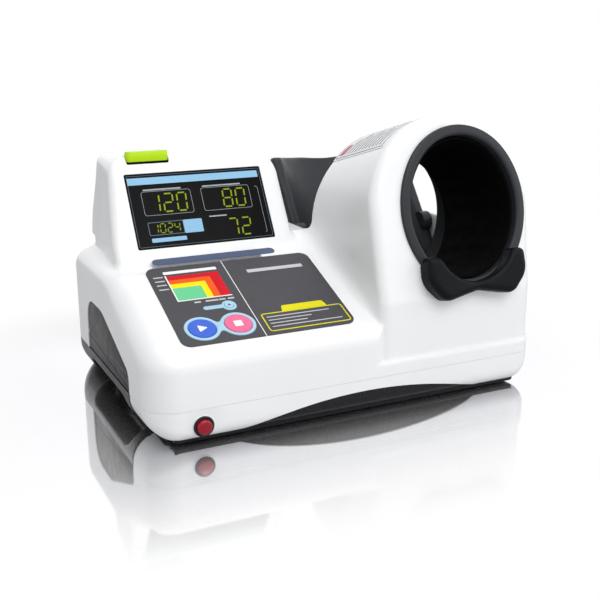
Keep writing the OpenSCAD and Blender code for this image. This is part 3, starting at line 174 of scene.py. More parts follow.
look("white", "moulded_white", (238, 239, 240), 0.34, 0.01, 0.05, 0.03, 1.5, coat=0.2, coat_rough=0.15,
     spec=0.4)
look("label", "printed_white", (226, 227, 230), 0.4, 0.02, 0.05, 0.03, 1.5, spec=0.3)
look("base", "moulded_black", (12, 13, 19), 0.26, 0.12, 0.06, 0.03, 1.0, coat=0.06, spec=0.3)
look("cover", "moulded_charcoal", (52, 52, 54), 0.4, 0.05, 0.08, 0.2, 0.8, spec=0.25)
look("trim", "dark_plastic", (42, 42, 44), 0.42, 0.08, 0.08, 0.2, 0.8, spec=0.25)
look("glass", "display_glass", (6, 7, 6), 0.22, 0.15, 0.03, spec=0.04)
look("panel", "printed_grey", (72, 72, 76), 0.5, 0.03, 0.06, 0.15, 0.5, spec=0.15)
look("slate", "printed_slate", (70, 84, 114), 0.4, 0.03, 0.05, 0.05, 0.5, spec=0.25)
look("blue_pale", "printed_pale_blue", (168, 208, 230), 0.4, 0.02, 0.06, 0.05, 0.5, spec=0.25)
look("blue", "key_blue", (50, 96, 204), 0.36, 0.04, 0.06, 0.1, 0.6, spec=0.25)
look("pink", "key_pink", (230, 106, 148), 0.36, 0.04, 0.06, 0.1, 0.6, spec=0.25)
look("lime", "moulded_lime", (182, 224, 0), 0.34, 0.04, 0.06, 0.1, 0.8, spec=0.3)
look("ring", "moulded_graphite", (44, 46, 50), 0.4, 0.06, 0.07, 0.2, 0.8, spec=0.2)
look("pad", "soft_pad", (12, 14, 17), 0.42, 0.08, 0.08, 0.2, 0.8, spec=0.1)
look("fabric", "cuff_fabric", (6, 6, 7), 0.7, 0.2, 0.1, 0.8, weave_mm=0.9, spec=0.05)
look("strap", "strap_webbing", (20, 20, 23), 0.7, 0.2, 0.1, 0.8, weave_mm=1.4, sheen=0.2, spec=0.1)
look("bladder", "bladder_film", (112, 116, 114), 0.42, 0.06, 0.1, 0.3, 1.2)
look("red_dome", "dome_red", (150, 0, 34), 0.2, 0.06, 0.05, coat=0.15, coat_rough=0.05, spec=0.3)
look("rubber", "moulded_rubber", (26, 26, 27), 0.75, 0.1, 0.08, 0.5, 0.6, spec=0.2)
look("paper", "paper_roll_white", (240, 240, 236), 0.85, 0.03, 0.05, 0.3, 0.3, spec=0.2)
look("steel", "brushed_steel", (176, 178, 182), 0.32, 0.06, 0.08, 0.25, metal=1.0, brushed=(1, 0.05, 1))
look("board", "circuit_green", (22, 92, 52), 0.4, 0.15, 0.1, 0.3, 0.8, cloud_mm=8.0)
look("ivory", "gear_ivory", (220, 214, 192), 0.45, 0.04, 0.06, 0.2, 0.5)
look("motor", "motor_can", (56, 56, 60), 0.4, 0.06, 0.08, 0.3, 0.5, metal=0.6)
look("hose", "hose_clear", (206, 210, 212), 0.25, 0.04, 0.06, 0.1, 0.8, clear=0.3, ior=1.45)
for ink, name, colour, var, spec in (
        ("print_white", "print_white", (238, 238, 238), 0.02, 0.2),
        ("print_grey", "print_light_grey", (196, 196, 200), 0.03, 0.2),
        ("red", "print_red", (206, 8, 32), 0.04, 0.12),
        ("orange", "print_orange", (236, 92, 22), 0.04, 0.12),
        ("yellow", "print_yellow", (246, 226, 8), 0.04, 0.12),
        ("green", "print_green", (106, 204, 146), 0.04, 0.12),
        ("signal", "print_signal_yellow", (222, 214, 18), 0.04, 0.12),
        ("pink_bar", "print_dull_red", (186, 70, 92), 0.04, 0.2),
        ("dark_line", "print_dark", (88, 88, 96), 0.04, 0.2)):
    look(ink, name, colour, 0.45, var, 0.05, spec=spec)
for ink, name, colour, var, glow in (
        ("lit_blue", "display_pale_blue", (132, 176, 206), 0.02, 0.25),
        ("lit_line", "display_line", (104, 122, 140), 0.04, 0.1),
        ("lit_digit", "display_digit", (122, 140, 12), 0.04, 0.35),
        ("lit_white", "display_white", (160, 168, 176), 0.04, 0.1)):
    look(ink, name, colour, 0.4, var, 0.03, spec=0.1, glow=glow)


# ---- outlines
def corners(pts, step=5.0):
    """Points of a closed outline whose corners [x, y, radius] are rounded."""
    out = []
    for i in range(len(pts)):
        r = pts[i][2]
        if r < 0.05:
            out.append(np.array(pts[i][:2], float))
            continue
        c, a0, sweep, _ = corner_arc(pts, i)
        k = max(2, math.ceil(abs(sweep) / step))
        for j in range(k + 1):
            a = math.radians(a0 + sweep * j / k)
            out.append(c + r * np.array([math.cos(a), math.sin(a)]))
    return np.array(out)


def corner_arc(pts, i):
    """Centre, start angle, sweep and end points of one rounded corner."""
    p, r = np.array(pts[i][:2], float), pts[i][2]
    a = np.array(pts[i - 1][:2], float) - p
    b = np.array(pts[i + 1 - len(pts)][:2], float) - p
    a, b = a / np.linalg.norm(a), b / np.linalg.norm(b)
    half = math.acos(max(-1, min(1, a @ b))) / 2
    mid = (a + b) / np.linalg.norm(a + b)
    c = p + mid * r / math.sin(half)
    t = r / math.tan(half)
    s, e = p + a * t, p + b * t
    a0 = math.degrees(math.atan2(*(s - c)[::-1]))
    a1 = math.degrees(math.atan2(*(e - c)[::-1]))
    return c, a0, (a1 - a0 + 180) % 360 - 180, (s, e)


def outline_field(pts):
    """Signed distance to a closed outline with rounded corners, negative inside. It runs anticlockwise."""
    chord, arcs = [], []
    for i in range(len(pts)):
        r = pts[i][2]
        if r < 0.05:
            chord.append(np.array(pts[i][:2], float))
            continue
        c, _, sweep, (s, e) = corner_arc(pts, i)
        chord += [s, e]
        out = (s + e) / 2 - c
        reach = np.linalg.norm(out)
        arcs.append((c, r, out / reach, reach, sweep > 0, len(chord) - 2))
    skip = {a[5] for a in arcs}
    pairs = [(chord[k], chord[(k + 1) % len(chord)]) for k in range(len(chord))]

    def field(u, v):
        u, v = np.broadcast_arrays(np.asarray(u, float), np.asarray(v, float))
        best = np.full(u.shape, 1e18)
        inside = np.zeros(u.shape, bool)
        for k, ((ax, ay), (bx, by)) in enumerate(pairs):
            if ay != by:
                inside ^= ((ay > v) != (by > v)) & (u < (bx - ax) * (v - ay) / (by - ay) + ax)
            if k in skip:
                continue
            ex, ey = bx - ax, by - ay
            wx, wy = u - ax, v - ay
            t = np.clip((wx * ex + wy * ey) / (ex * ex + ey * ey), 0, 1)
            best = np.minimum(best, (wx - ex * t) ** 2 + (wy - ey * t) ** 2)
        best = np.sqrt(best)
        for c, r, out, reach, convex, _ in arcs:
            wx, wy = u - c[0], v - c[1]
            far = np.hypot(wx, wy)
            side = wx * out[0] + wy * out[1]
            best = np.where(side > far * reach / r, np.minimum(best, np.abs(far - r)), best)
            cap = (far < r) & (side > reach)
            inside = (inside | cap) if convex else (inside & ~cap)
        return np.where(inside, -best, best)

    return field


def meet(a, b, r, c=0.0):
    """Solid inside both a and b, with its edge rounded to radius r; c is the cosine between their faces."""
    A, B = a + r, b + r
    tip = (A > c * B) & (B > c * A) & (np.maximum(A, B) > 0)
    far = np.sqrt(np.maximum(A * A + B * B - 2 * c * A * B, 0)) / np.sqrt(1 - np.asarray(c, float) ** 2)
    return np.where(tip, far, np.maximum(A, B)) - r


def join(a, b, r, c=0.0):
    """Solid inside a or b, with a fillet of radius r where they meet."""
    return -meet(-a, -b, r, c)


def ease(x, lo, hi):
    """Smooth step from 0 to 1."""
    t = np.clip((x - lo) / (hi - lo), 0, 1)
    return t * t * (3 - 2 * t)


# ---- meshes
def linked(name, data):
    """New object in the scene."""
    ob = bpy.data.objects.new(name, data)
    scene.collection.objects.link(ob)
    return ob


def new_object(name, verts, faces, place=None):
    v = np.asarray(verts, float).reshape(-1, 3)
    v = (place(v) if place else v) * MM
    me = bpy.data.meshes.new(name)
    me.from_pydata(v.tolist(), [], [tuple(int(i) for i in f) for f in faces])
    me.update()
    return linked(name, me)


def baked(ob):
    """The object's mesh with its modifiers applied."""
    dg = bpy.context.evaluated_depsgraph_get()
    me = bpy.data.meshes.new_from_object(ob.evaluated_get(dg))
    ob.modifiers.clear()
    ob.data = me
    return ob


def boolean(ob, other, how="DIFFERENCE"):
    """Cuts the other object out, or joins it, and removes it."""
    m = ob.modifiers.new("cut", "BOOLEAN")
    m.object = other
    m.operation = how
    m.solver = "MANIFOLD"
    baked(ob)
    bpy.data.objects.remove(other, do_unlink=True)
    return ob


def bevel(ob, width, segments=3):
    b = ob.modifiers.new("edges", "BEVEL")
    b.width = width * MM
    b.segments = segments
    b.limit_method = "ANGLE"
    b.angle_limit = math.radians(32)
    b.harden_normals = True
    return baked(ob)


def piece(ob, material, replaces, body="machine", angle=32.0):
    """Shades the object, gives it its material and hands it to its body."""
    me = ob.data
    me.polygons.foreach_set("use_smooth", [True] * len(me.polygons))
    me.set_sharp_from_angle(angle=math.radians(angle))
    me.materials.clear()
    me.materials.append(M[material])
    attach(ob, body)
    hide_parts(*([replaces] if isinstance(replaces, str) else replaces))


def field_mesh(name, field, lo, hi, step, level=0.0, rounds=3):
    """Closed skin of a solid given by its signed distance in millimetres, Y from the front plane."""
    axes = [np.arange(a, b + step, step) for a, b in zip(lo, hi)]
    X, Y, Z = axes[0][:, None, None], axes[1][None, :, None], axes[2][None, None, :]
    F = np.broadcast_to(field(X, Y, Z) - level, [len(a) for a in axes])
    s = F < 0
    n = np.array(F.shape)
    total = sum(s[i:n[0] - 1 + i, j:n[1] - 1 + j, k:n[2] - 1 + k].astype(np.int8)
                for i in (0, 1) for j in (0, 1) for k in (0, 1))
    mixed = (total > 0) & (total < 8)
    cells = np.argwhere(mixed)
    ids = np.full(mixed.shape, -1, np.int64)
    ids[mixed] = np.arange(len(cells))
    pos, hits = np.zeros((len(cells), 3)), np.zeros(len(cells))
    for axis in range(3):
        u, v = [a for a in range(3) if a != axis]
        for du in (0, 1):
            for dv in (0, 1):
                a = cells.copy()
                a[:, u] += du
                a[:, v] += dv
                b = a.copy()
                b[:, axis] += 1
                fa, fb = F[tuple(a.T)], F[tuple(b.T)]
                cross = (fa < 0) != (fb < 0)
                t = np.where(cross, fa / np.where(cross, fa - fb, 1), 0)
                p = a.astype(float)
                p[:, axis] += t
                pos[cross] += p[cross]
                hits[cross] += 1
    verts = np.array(lo) + pos / hits[:, None] * step
    quads = []
    for axis in range(3):
        u, v = (axis + 1) % 3, (axis + 2) % 3
        sl = [slice(None)] * 3
        sl[axis] = slice(0, -1)
        up = [slice(None)] * 3
        up[axis] = slice(1, None)
        sa, sb = s[tuple(sl)], s[tuple(up)]
        edge = np.argwhere(sa != sb)
        edge = edge[(edge[:, u] > 0) & (edge[:, v] > 0) & (edge[:, u] < n[u] - 1) & (edge[:, v] < n[v] - 1)]
        q = []
        for du, dv in ((-1, -1), (0, -1), (0, 0), (-1, 0)):
            c = edge.copy()
            c[:, u] += du
            c[:, v] += dv
            q.append(ids[tuple(c.T)])
        q = np.array(q).T
        flip = ~sa[tuple(edge.T)]
        q[flip] = q[flip][:, ::-1]
        quads.append(q)
    quads = np.concatenate(quads)
    h = 0.05
    for _ in range(rounds):
        d = field(*verts.T) - level
        g = np.array([field(*(verts + h * e).T) - field(*(verts - h * e).T) for e in np.eye(3)]).T / (2 * h)
        move = d[:, None] * g / np.maximum((g * g).sum(1), 0.2)[:, None]
        far = np.linalg.norm(move, axis=1)
        verts -= move * np.minimum(1, step / np.maximum(far, 1e-9))[:, None]
    return new_object(name, verts, quads, BODY)


def flat_mesh(name, outline, z0, z1, place, holes=(), curve=None):
    """Plate with a straight edge wall between z0 and z1; outline and holes are closed 2-D outlines."""
    bm = bmesh.new()
    edges = []
    for loop in [outline, *holes]:
        vs = [bm.verts.new((float(x), float(y), 0)) for x, y in loop]
        edges += [bm.edges.new((vs[i], vs[(i + 1) % len(vs)])) for i in range(len(vs))]
    bmesh.ops.triangle_fill(bm, edges=edges, use_beauty=True)
    if curve:
        lo = min(p[0] for p in outline)
        hi = max(p[0] for p in outline)
        for x in np.arange(lo + curve, hi, curve):
            bmesh.ops.bisect_plane(bm, geom=bm.verts[:] + bm.edges[:] + bm.faces[:],
                                   plane_co=(x, 0, 0), plane_no=(1, 0, 0))
    else:
        bmesh.ops.dissolve_limit(bm, angle_limit=0.01, verts=bm.verts[:], edges=bm.edges[:])
    bmesh.ops.recalc_face_normals(bm, faces=bm.faces[:])
    if bm.faces[:][0].normal.z < 0:
        bmesh.ops.reverse_faces(bm, faces=bm.faces[:])
    top = bmesh.ops.extrude_face_region(bm, geom=bm.faces[:])
    up = [g for g in top["geom"] if isinstance(g, bmesh.types.BMVert)]
    for v in bm.verts:
        v.co.z = z0
    for v in up:
        v.co.z = z1
    bmesh.ops.recalc_face_normals(bm, faces=bm.faces[:])
    me = bpy.data.meshes.new(name)
    bm.to_mesh(me)
    bm.free()
    co = np.empty(len(me.vertices) * 3)
    me.vertices.foreach_get("co", co)
    me.vertices.foreach_set("co", (place(co.reshape(-1, 3)) * MM).ravel())
    me.update()
    return linked(name, me)


def rect(x0, y0, x1, y1, r=0.0):
    return corners([[x0, y0, r], [x1, y0, r], [x1, y1, r], [x0, y1, r]], 12)


def circle(x, y, r, n=72):
    a = np.linspace(0, 2 * math.pi, n, endpoint=False)
    return np.stack([x + r * np.cos(a), y + r * np.sin(a)], 1)


def arc(x, y, r, a0, a1, n):
    """Points of an arc between two angles in degrees."""
    a = np.radians(np.linspace(a0, a1, n))
    return np.stack([x + r * np.cos(a), y + r * np.sin(a)], 1)


def solid_box(name, lo, hi, place=BODY, r=0.0):
    """Block between two corners in a local frame, with rounded vertical corners."""
    return flat_mesh(name, rect(lo[0], lo[1], hi[0], hi[1], r), lo[2], hi[2], place)


def revolved(name, profile, place, n=96, axis="z"):
    """Solid turned about the local Z axis, or Y axis, from a profile of [radius, height]."""
    verts, faces, rings = [], [], []
    for r, h in profile:
        count = 1 if r < 1e-6 else n
        rings.append([len(verts) + k % count for k in range(n)])
        turns = [2 * math.pi * k / n for k in range(count)]
        verts += [(r * math.cos(a), r * math.sin(a), h) for a in turns]
    for p, q in zip(rings[:-1], rings[1:]):
        for k in range(n):
            k1 = (k + 1) % n
            face = list(dict.fromkeys((p[k], p[k1], q[k1], q[k])))
            if len(face) > 2:
                faces.append(face)
    verts = np.array(verts)
    if axis == "y":
        verts = verts[:, [0, 2, 1]]
        faces = [f[::-1] for f in faces]
    return new_object(name, verts, faces, place)


def tube_mesh(name, rings, place):
    """Skin through closed rings of points, the last joined to the first."""
    m, n = len(rings), len(rings[0])
    faces = []
    for i in range(m):
        here, there = i * n, (i + 1) % m * n
        for k in range(n):
            k1 = (k + 1) % n
            faces.append((here + k, here + k1, there + k1, there + k))
    return new_object(name, np.concatenate(rings), faces, place)


# ---- casing
def plan(X, Y):
    """Signed distance to the rounded rectangle seen from above, and the direction of its face."""
    r = np.where((X < 0) & (Y > DEPTH / 2), PLAN_BACK_R, PLAN_R)
    qx, qy = np.abs(X) - (HALF_W - r), np.abs(Y - DEPTH / 2) - (DEPTH / 2 - r)
    ox, oy = np.maximum(qx, 0), np.maximum(qy, 0)
    h = np.hypot(ox, oy)
    side = np.sign(Y - DEPTH / 2)
    ny = np.where(h > 1e-6, oy / np.maximum(h, 1e-6), qy > qx) * side
    return h + np.minimum(np.maximum(qx, qy), 0) - r, ny


tower_side = outline_field([[45.4, -50, 0], [487, -50, 0], [309.5, 389.6, 0]])
tower_face = outline_field([[-245, -20, 0], [-1, -20, 0], [-1, 296, 38], [-235, 296, 38], [-245, 188, 40]])
back_side = outline_field([[188, -20, 0], [460, -20, 0], [460, 236, 0], [320.7, 236, 14], [283, 186, 12],
                           [188, 186, 0]])


def tower_body(X, Y, Z):
    """Display tower: leaning front and back, a top that falls to the back and a left side that draws in."""
    z = Z + (Y - TOP_Y) * math.tan(math.radians(TOP_TILT))
    left = -245 + 10 * np.clip((z - 188) / 108, 0, 1) + 19 * np.maximum(Y - 190, 0) / 194
    face = meet(tower_face(X, z), left - X, 5)
    edge = 11 + 9 * ease(Y, 290, 320)
    return meet(tower_side(Y, Z), face, edge, 0.45 * np.clip((z - 258) / 38, 0, 1))


def tunnel_local(Y, Z):
    y, z = Y - AXIS_Y, Z - AXIS_Z
    return y * CT - z * ST, y * ST + z * CT


def casing(X, Y, Z):
    P, ny = plan(X, Y)
    deck = (Z - DECK_Z) * CD - Y * SD
    ledge = meet(deck, Z - 166, 24, CD)
    shelf = np.maximum(meet(deck, Z - 188, 20, CD), -60 - X)
    deck_all = np.maximum(np.minimum(ledge, shelf), X - 31.5)
    tower = tower_body(X, Y, Z)
    side = np.maximum(ease(-X, 232, 240), ease(X, -10, -2))
    body = join(deck_all, tower, 3 + 6 * side)
    front = np.maximum(-ny, 0)
    r = 30 - 4 * front
    r = r + (16 - r) * ease(Y, 120, 185)
    r = r + (30 - r) * ease(Y, 300, 350)
    rear = (Z > 178) & (X > -250) & (X < -3) & (Y > 300)
    r = np.where(rear, 40, r)
    c = np.where(rear, 0.927 * np.maximum(ny, 0), SD * front)
    body = meet(P, body, r, c)
    yt, zt = tunnel_local(Y, Z)
    xt = X - ARCH_X
    arch = np.where(zt > 0, np.hypot(xt, np.maximum(zt, 0)), np.abs(xt)) - ARCH_R
    face = meet(-yt, 4 - Y, 24, CT)
    edge_r = np.where(xt > 0, 34 - 18 * ease(Z, 120, 260), 13)
    tunnel = meet(face, arch, edge_r)
    tunnel = meet(tunnel, Y - 200, 10, 0.25 * ease(zt, 0, 60))
    body = join(body, tunnel, 3 + 17 * ease(Y, 8, 60))
    strip = meet(P, Z - 62, 3)
    back = meet(np.maximum(back_side(Y, Z), ARCH_LEFT - X), P, 10 + 12 * np.maximum(ny, 0))
    body = np.minimum(np.minimum(body, strip), back)
    n = (Z - ELBOW_Z) * CE - (Y - ELBOW_Y) * SE
    cradle = np.minimum(np.hypot(X - ELBOW_X, n - ELBOW_ARC_N) - 144.7, -16 - n)
    block = np.maximum(np.maximum(29 - X, X - 250.5), np.maximum(200 - Y, 80 - Z))
    body = meet(body, -np.maximum(cradle, block), 3.5)
    return np.maximum(body, 36 - Z)


def oval(d, n=48):
    """Points of the ring's outline made smaller by d, anticlockwise from the right."""
    turn = math.degrees(math.atan2(CROWN_RISE, -FLANK_X))
    flank, crown = FLANK_R - d, CROWN_R - d
    pts = []
    for k in range(n):
        a = math.radians(-turn + 2 * turn * k / n)
        pts.append((FLANK_X + flank * math.cos(a), flank * math.sin(a)))
    for k in range(n):
        a = math.radians(turn + (180 - 2 * turn) * k / n)
        pts.append((crown * math.cos(a), CROWN_RISE + crown * math.sin(a)))
    pts = np.array(pts)
    return np.concatenate([pts, -pts])


def along_y(pts, y0, y1, name, place, holes=()):
    """Plate whose outline lies in the local X-Z plane, from y0 to y1."""
    ob = flat_mesh(name, pts, y0, y1, lambda p: place(p[:, [0, 2, 1]]), holes)
    ob.data.flip_normals()
    return ob


def along_x(pts, x0, x1, name, place):
    """Plate whose outline lies in the local Y-Z plane, from x0 to x1."""
    return flat_mesh(name, pts, x0, x1, lambda p: place(p[:, [2, 0, 1]]))


def mirrored(sign, inner, outer):
    """Range of X on the left or right of the middle plane."""
    return sorted((sign * inner, sign * outer))


def key_hole(name):
    x, s, r = KEYS[name]
    return circle(x, s, r + KEY_GAP)


COVER = [[79, 45, 0], [268, 45, 0], [265, 115, 32], [190, 115, 60], [79, 71, 14]]


def shrink(pts, d):
    """The same corners moved inwards by d."""
    out = []
    for i in range(len(pts)):
        p = np.array(pts[i][:2], float)
        e0, e1 = p - np.array(pts[i - 1][:2]), np.array(pts[i + 1 - len(pts)][:2]) - p
        e0, e1 = e0 / np.linalg.norm(e0), e1 / np.linalg.norm(e1)
        n0, n1 = np.array([-e0[1], e0[0]]), np.array([-e1[1], e1[0]])
        q = p + (n0 + n1) * d / (1 + n0 @ n1)
        r = pts[i][2]
        out.append([q[0], q[1], 0 if r == 0 else max(0.4, r - d)])
    return out


def make_casing():
    step = 2.75
    lo, hi = (-270, -6, 30), (270, 390, 358)
    shell = field_mesh("upper_casing_shell", casing, lo, hi, step)
    boolean(shell, field_mesh("hollow", casing, (-270, -6, 20), hi, 5.0, -WALL, 2))
    openings = [
        solid_box("c", (-92.9, 10.9, -30), (92.9, 112.2, 20), SCREEN, 2.5),
        *[flat_mesh("c", key_hole(name), -4.5, 20, DECK) for name in KEYS],
        solid_box("c", (-34.4, 11.6, -4), (34.4, 84.8, 20), TOP, 3),
        solid_box("c", (-9 - 28.4, -6.4, -12), (-9 + 28.4, 5.9, 20), TOP, 3),
        along_y(oval(3.0, 32), -20, 20, "c", TUNNEL),
        solid_box("c", (-180, 380, 58), (-50, 404, 118)),
        along_x(corners(COVER), -284, -244, "c", BODY),
        along_x(corners(COVER), 257.5, 284, "c", BODY),
        along_x(circle(0, 0, 5.06, 32), -119.25, 119.25, "c", ELBOW),
    ]
    below = solid_box("c", (-300, -20, -20), (300, 420, SEAM_Z))
    rear = along_y(oval(3.0, 32), 20, 330, "c", TUNNEL)
    boolean(rear, solid_box("w", (0, 196, 0), (300, 201, 400)), "INTERSECT")
    for c in (below, merged(openings), rear):
        boolean(shell, c)
    piece(shell, "white", "upper_casing", angle=38)


def merged(objects, name="merged"):
    """One object of several meshes."""
    bm = bmesh.new()
    for o in objects:
        bm.from_mesh(o.data)
    me = bpy.data.meshes.new(name)
    bm.to_mesh(me)
    bm.free()
    for o in objects:
        bpy.data.objects.remove(o, do_unlink=True)
    return linked(name, me)


# ---- base
def bumper_body(X, Y, Z):
    """Front bumper, with the dish round the emergency button."""
    P, ny = plan(X, Y)
    body = np.maximum(meet(P, 6 - Z, 36 - 18 * ny * ny), np.maximum(Z - 52, Y - BUMPER_Y - 8))
    dish = np.sqrt((X - STOP_X) ** 2 + (Y + 111.5) ** 2 + (Z - STOP_Z) ** 2) - 113.5
    return meet(body, -dish, 1.5)


grip_side = outline_field([[94, -30, 0], [260, -30, 0], [260, 33, 12], [94, 33, 26]])


def tray_body(X, Y, Z):
    """Base tray, with the hand grips at its sides."""
    P, ny = plan(X, Y)
    rear = np.maximum(meet(P, 3 - Z, 36 - 32 * ny * ny), BUMPER_Y + 0.5 - Y)
    inner = Y - BUMPER_Y - 5
    front = np.maximum(meet(P + 3.5, 6 - Z, 32 - 16 * ny * ny), inner)
    floor = np.maximum(np.maximum(np.abs(X) - 233.5, 10.5 - Y), np.maximum(inner, np.maximum(3 - Z, Z - 14)))
    body = np.minimum(np.minimum(rear, front), floor)
    grip = meet(grip_side(Y, Z), 230 - np.abs(X), 6)
    return np.maximum(meet(body, -grip, 2.5), Z - 52)


def make_base():
    step = 2.5
    lo, hi = (-270, -6, -2), (270, 112, 56)
    shell = field_mesh("front_bumper_shell", bumper_body, lo, hi, step)
    boolean(shell, field_mesh("hollow", bumper_body, lo, (270, 112, 60), 4.0, -WALL, 2))
    for c in (solid_box("c", (-300, BUMPER_Y, -10), (300, 400, 80)),
              solid_box("c", (-300, -20, SEAM_Z - 0.3), (300, 400, 90)),
              solid_box("c", (-234, 10, -10), (234, 130, 12)),
              along_y(circle(8, -559.5, 590.5, 360), -20, 130, "c", BODY),
              along_y(circle(STOP_X, STOP_Z, 10.6, 64), -5, 20, "c", BODY)):
        boolean(shell, c)
    piece(shell, "white", "front_bumper", angle=38)
    boss = [[10.6, 8], [12.6, 8], [12.6, 0.6], [12.2, -0.6], [10.8, -0.5], [10.6, 8]]
    piece(revolved("bumper_boss", boss, STOP, axis="y"), "white", "front_bumper")
    lo = (-270, -2, -3)
    tray = field_mesh("base_tray_shell", tray_body, lo, (270, 390, 56), step)
    boolean(tray, field_mesh("hollow", tray_body, lo, (270, 390, 60), 4.0, -WALL, 2))
    boolean(tray, solid_box("c", (-300, -20, SEAM_Z - 0.3), (300, 420, 90)))
    boolean(tray, along_y(circle(STOP_X, STOP_Z, 15.5, 64), -5, 20, "c", BODY))
    piece(tray, "base", "base_tray", angle=38)
    for sign, name in ((-1, "left_side_cover"), (1, "right_side_cover")):
        cover = along_x(corners(shrink(COVER, 0.4)), *mirrored(sign, 258.5, 263), name + "_panel", BODY)
        groove = [[70, 49.2], [280, 64.2], [280, 65.1], [70, 50.1]]
        boolean(cover, along_x(groove, *mirrored(sign, 262.2, 264), "c", BODY))
        for y, z, r in ((91, 63, 2.0), (268, 69, 4.5)):
            boolean(cover, along_x(circle(y, z, r, 32), *mirrored(sign, 260.5, 264), "c", BODY))
        piece(bevel(cover, 0.7), "cover", name)


# ---- display
SEGMENTS = {"0": "abcdef", "1": "bc", "2": "abged", "4": "fgbc", "7": "abc", "8": "abcdefg"}
DIGIT_LEAN = 0.06


def digit(x, y, w, h, t, which):
    """Outlines of one lit digit: bars with pointed ends, leaning a little."""
    g = t * 0.18
    a = t / 2
    hbar = [[g + a, 0], [2 * a, a], [w - 2 * a, a], [w - g - a, 0], [w - 2 * a, -a], [2 * a, -a]]
    vh = h / 2
    vbar = [[0, g + a], [a, 2 * a], [a, vh - 2 * a], [0, vh - g - a], [-a, vh - 2 * a], [-a, 2 * a]]
    spots = {"a": (hbar, 0, h), "g": (hbar, 0, vh), "d": (hbar, 0, 0), "f": (vbar, 0, vh), "e": (vbar, 0, 0),
             "b": (vbar, w, vh), "c": (vbar, w, 0)}
    bars = []
    for segment in SEGMENTS[which]:
        shape, dx, dy = spots[segment]
        p = np.array(shape, float) + [dx, dy]
        p[:, 0] += p[:, 1] * DIGIT_LEAN
        bars.append(p + [x, y])
    return bars


def stamps(name, shapes, z0, z1, place, material, replaces, curve=None):
    """Thin raised print of several outlines, or pairs of an outline and its holes, as one piece."""
    pairs = [shape if isinstance(shape, tuple) else (shape, ()) for shape in shapes]
    parts = [flat_mesh("s", outline, z0, z1, place, holes, curve) for outline, holes in pairs]
    piece(merged(parts, name), material, replaces)


def framed(x0, y0, x1, y1, r, line):
    hole = rect(x0 + line, y0 + line, x1 - line, y1 - line, max(0.1, r - line))
    return rect(x0, y0, x1, y1, r), [hole]


def make_display():
    def lit(name, shapes, material):
        z = -0.3
        stamps("display_" + name, shapes, z, z + PRINT, SCREEN, material, "display_window")

    glass = solid_box("display_window_glass", (-92.5, 11.3, -3), (92.5, 111.8, -0.3), SCREEN, 2.2)
    piece(bevel(glass, 0.35, 2), "glass", "display_window")
    lit("banner", [rect(-90, 97, 87.6, 106.4, 0.6), rect(-28, 28.2, -3, 46, 1.2),
                   rect(-73, 19.2, -27.4, 24.6, 1.2)], "lit_blue")
    lit("lines", [framed(-90.2, 13.8, 90.2, 109.4, 1.2, 0.4),
                  framed(-74.4, 28.4, -28, 46, 1.4, 0.7)], "lit_line")
    lit("fields", [framed(-75.4, 54.9, -10, 87.5, 3.5, 0.45), framed(4, 55.3, 70.9, 87.2, 3.5, 0.45),
                   framed(77.5, 19, 83.5, 84, 3, 0.4)], "lit_white")
    lit("marks", [rect(-72, 88.6, -22, 90.4, 0.3), rect(7, 88.4, 60, 90.2, 0.3),
                  rect(8, 46.5, 32, 48.2, 0.3)], "lit_white")
    bars = []
    for number, x, y, w, h, t in (("120", -66.5, 59, 12, 24, 1.9), ("80", 32, 59, 12, 24, 1.9),
                                  ("72", 31.5, 19, 12, 23, 1.9), ("1024", -69, 31.2, 6.4, 12, 1.2)):
        for i, which in enumerate(number):
            bars += digit(x + i * 1.5 * w, y, w, h, t, which)
    lit("digits", bars, "lit_digit")


# ---- deck panels and keys
def surround_outline(d=0.0):
    """Two circles joined by a waisted bridge."""
    (x0, s, _), (x1, _, _) = KEYS["start"], KEYS["stop"]
    r, open_angle = 21.0 + d, 38
    left = arc(x0, s, r, open_angle, 360 - open_angle, 60)
    right = arc(x1, s, r, open_angle - 180, 180 - open_angle, 60)
    yb = r * math.sin(math.radians(open_angle))
    t = np.linspace(0, 1, 9)[1:-1]
    xa, xb = x0 + r * math.cos(math.radians(open_angle)), x1 - r * math.cos(math.radians(open_angle))
    dip = 5.0 * np.sin(math.pi * t)
    low = np.stack([xa + (xb - xa) * t, s - yb + dip], 1)
    high = np.stack([xb + (xa - xb) * t, s + yb - dip], 1)
    return np.concatenate([left, low, right, high])


def feed_outline(d=0.0):
    """Circle round the feed key with a band to its left."""
    x, s, _ = KEYS["feed"]
    r, w, tail = 9.0 + d, 3.2 + d, 29.0
    a0 = math.degrees(math.asin(w / r))
    return np.concatenate([arc(x, s, r, 180 + a0, 540 - a0, 48), arc(x - tail, s, w, 90, 270, 14)])


def dished(r, top, dish, edge):
    """Profile of a key with a flange, a rounded rim and a dished face."""
    base, flange = -5.3, 2.0
    prof = [[0, base], [r + flange, base], [r + flange, base + 2], [r, base + 2], [r, top - edge]]
    inner = r - edge - 0.6
    return prof + [*arc(r - edge, top - edge, edge, 22.5, 90, 4)] + [
        [inner * t, top - dish * (1 - t * t)] for t in np.linspace(1, 0, 9)]


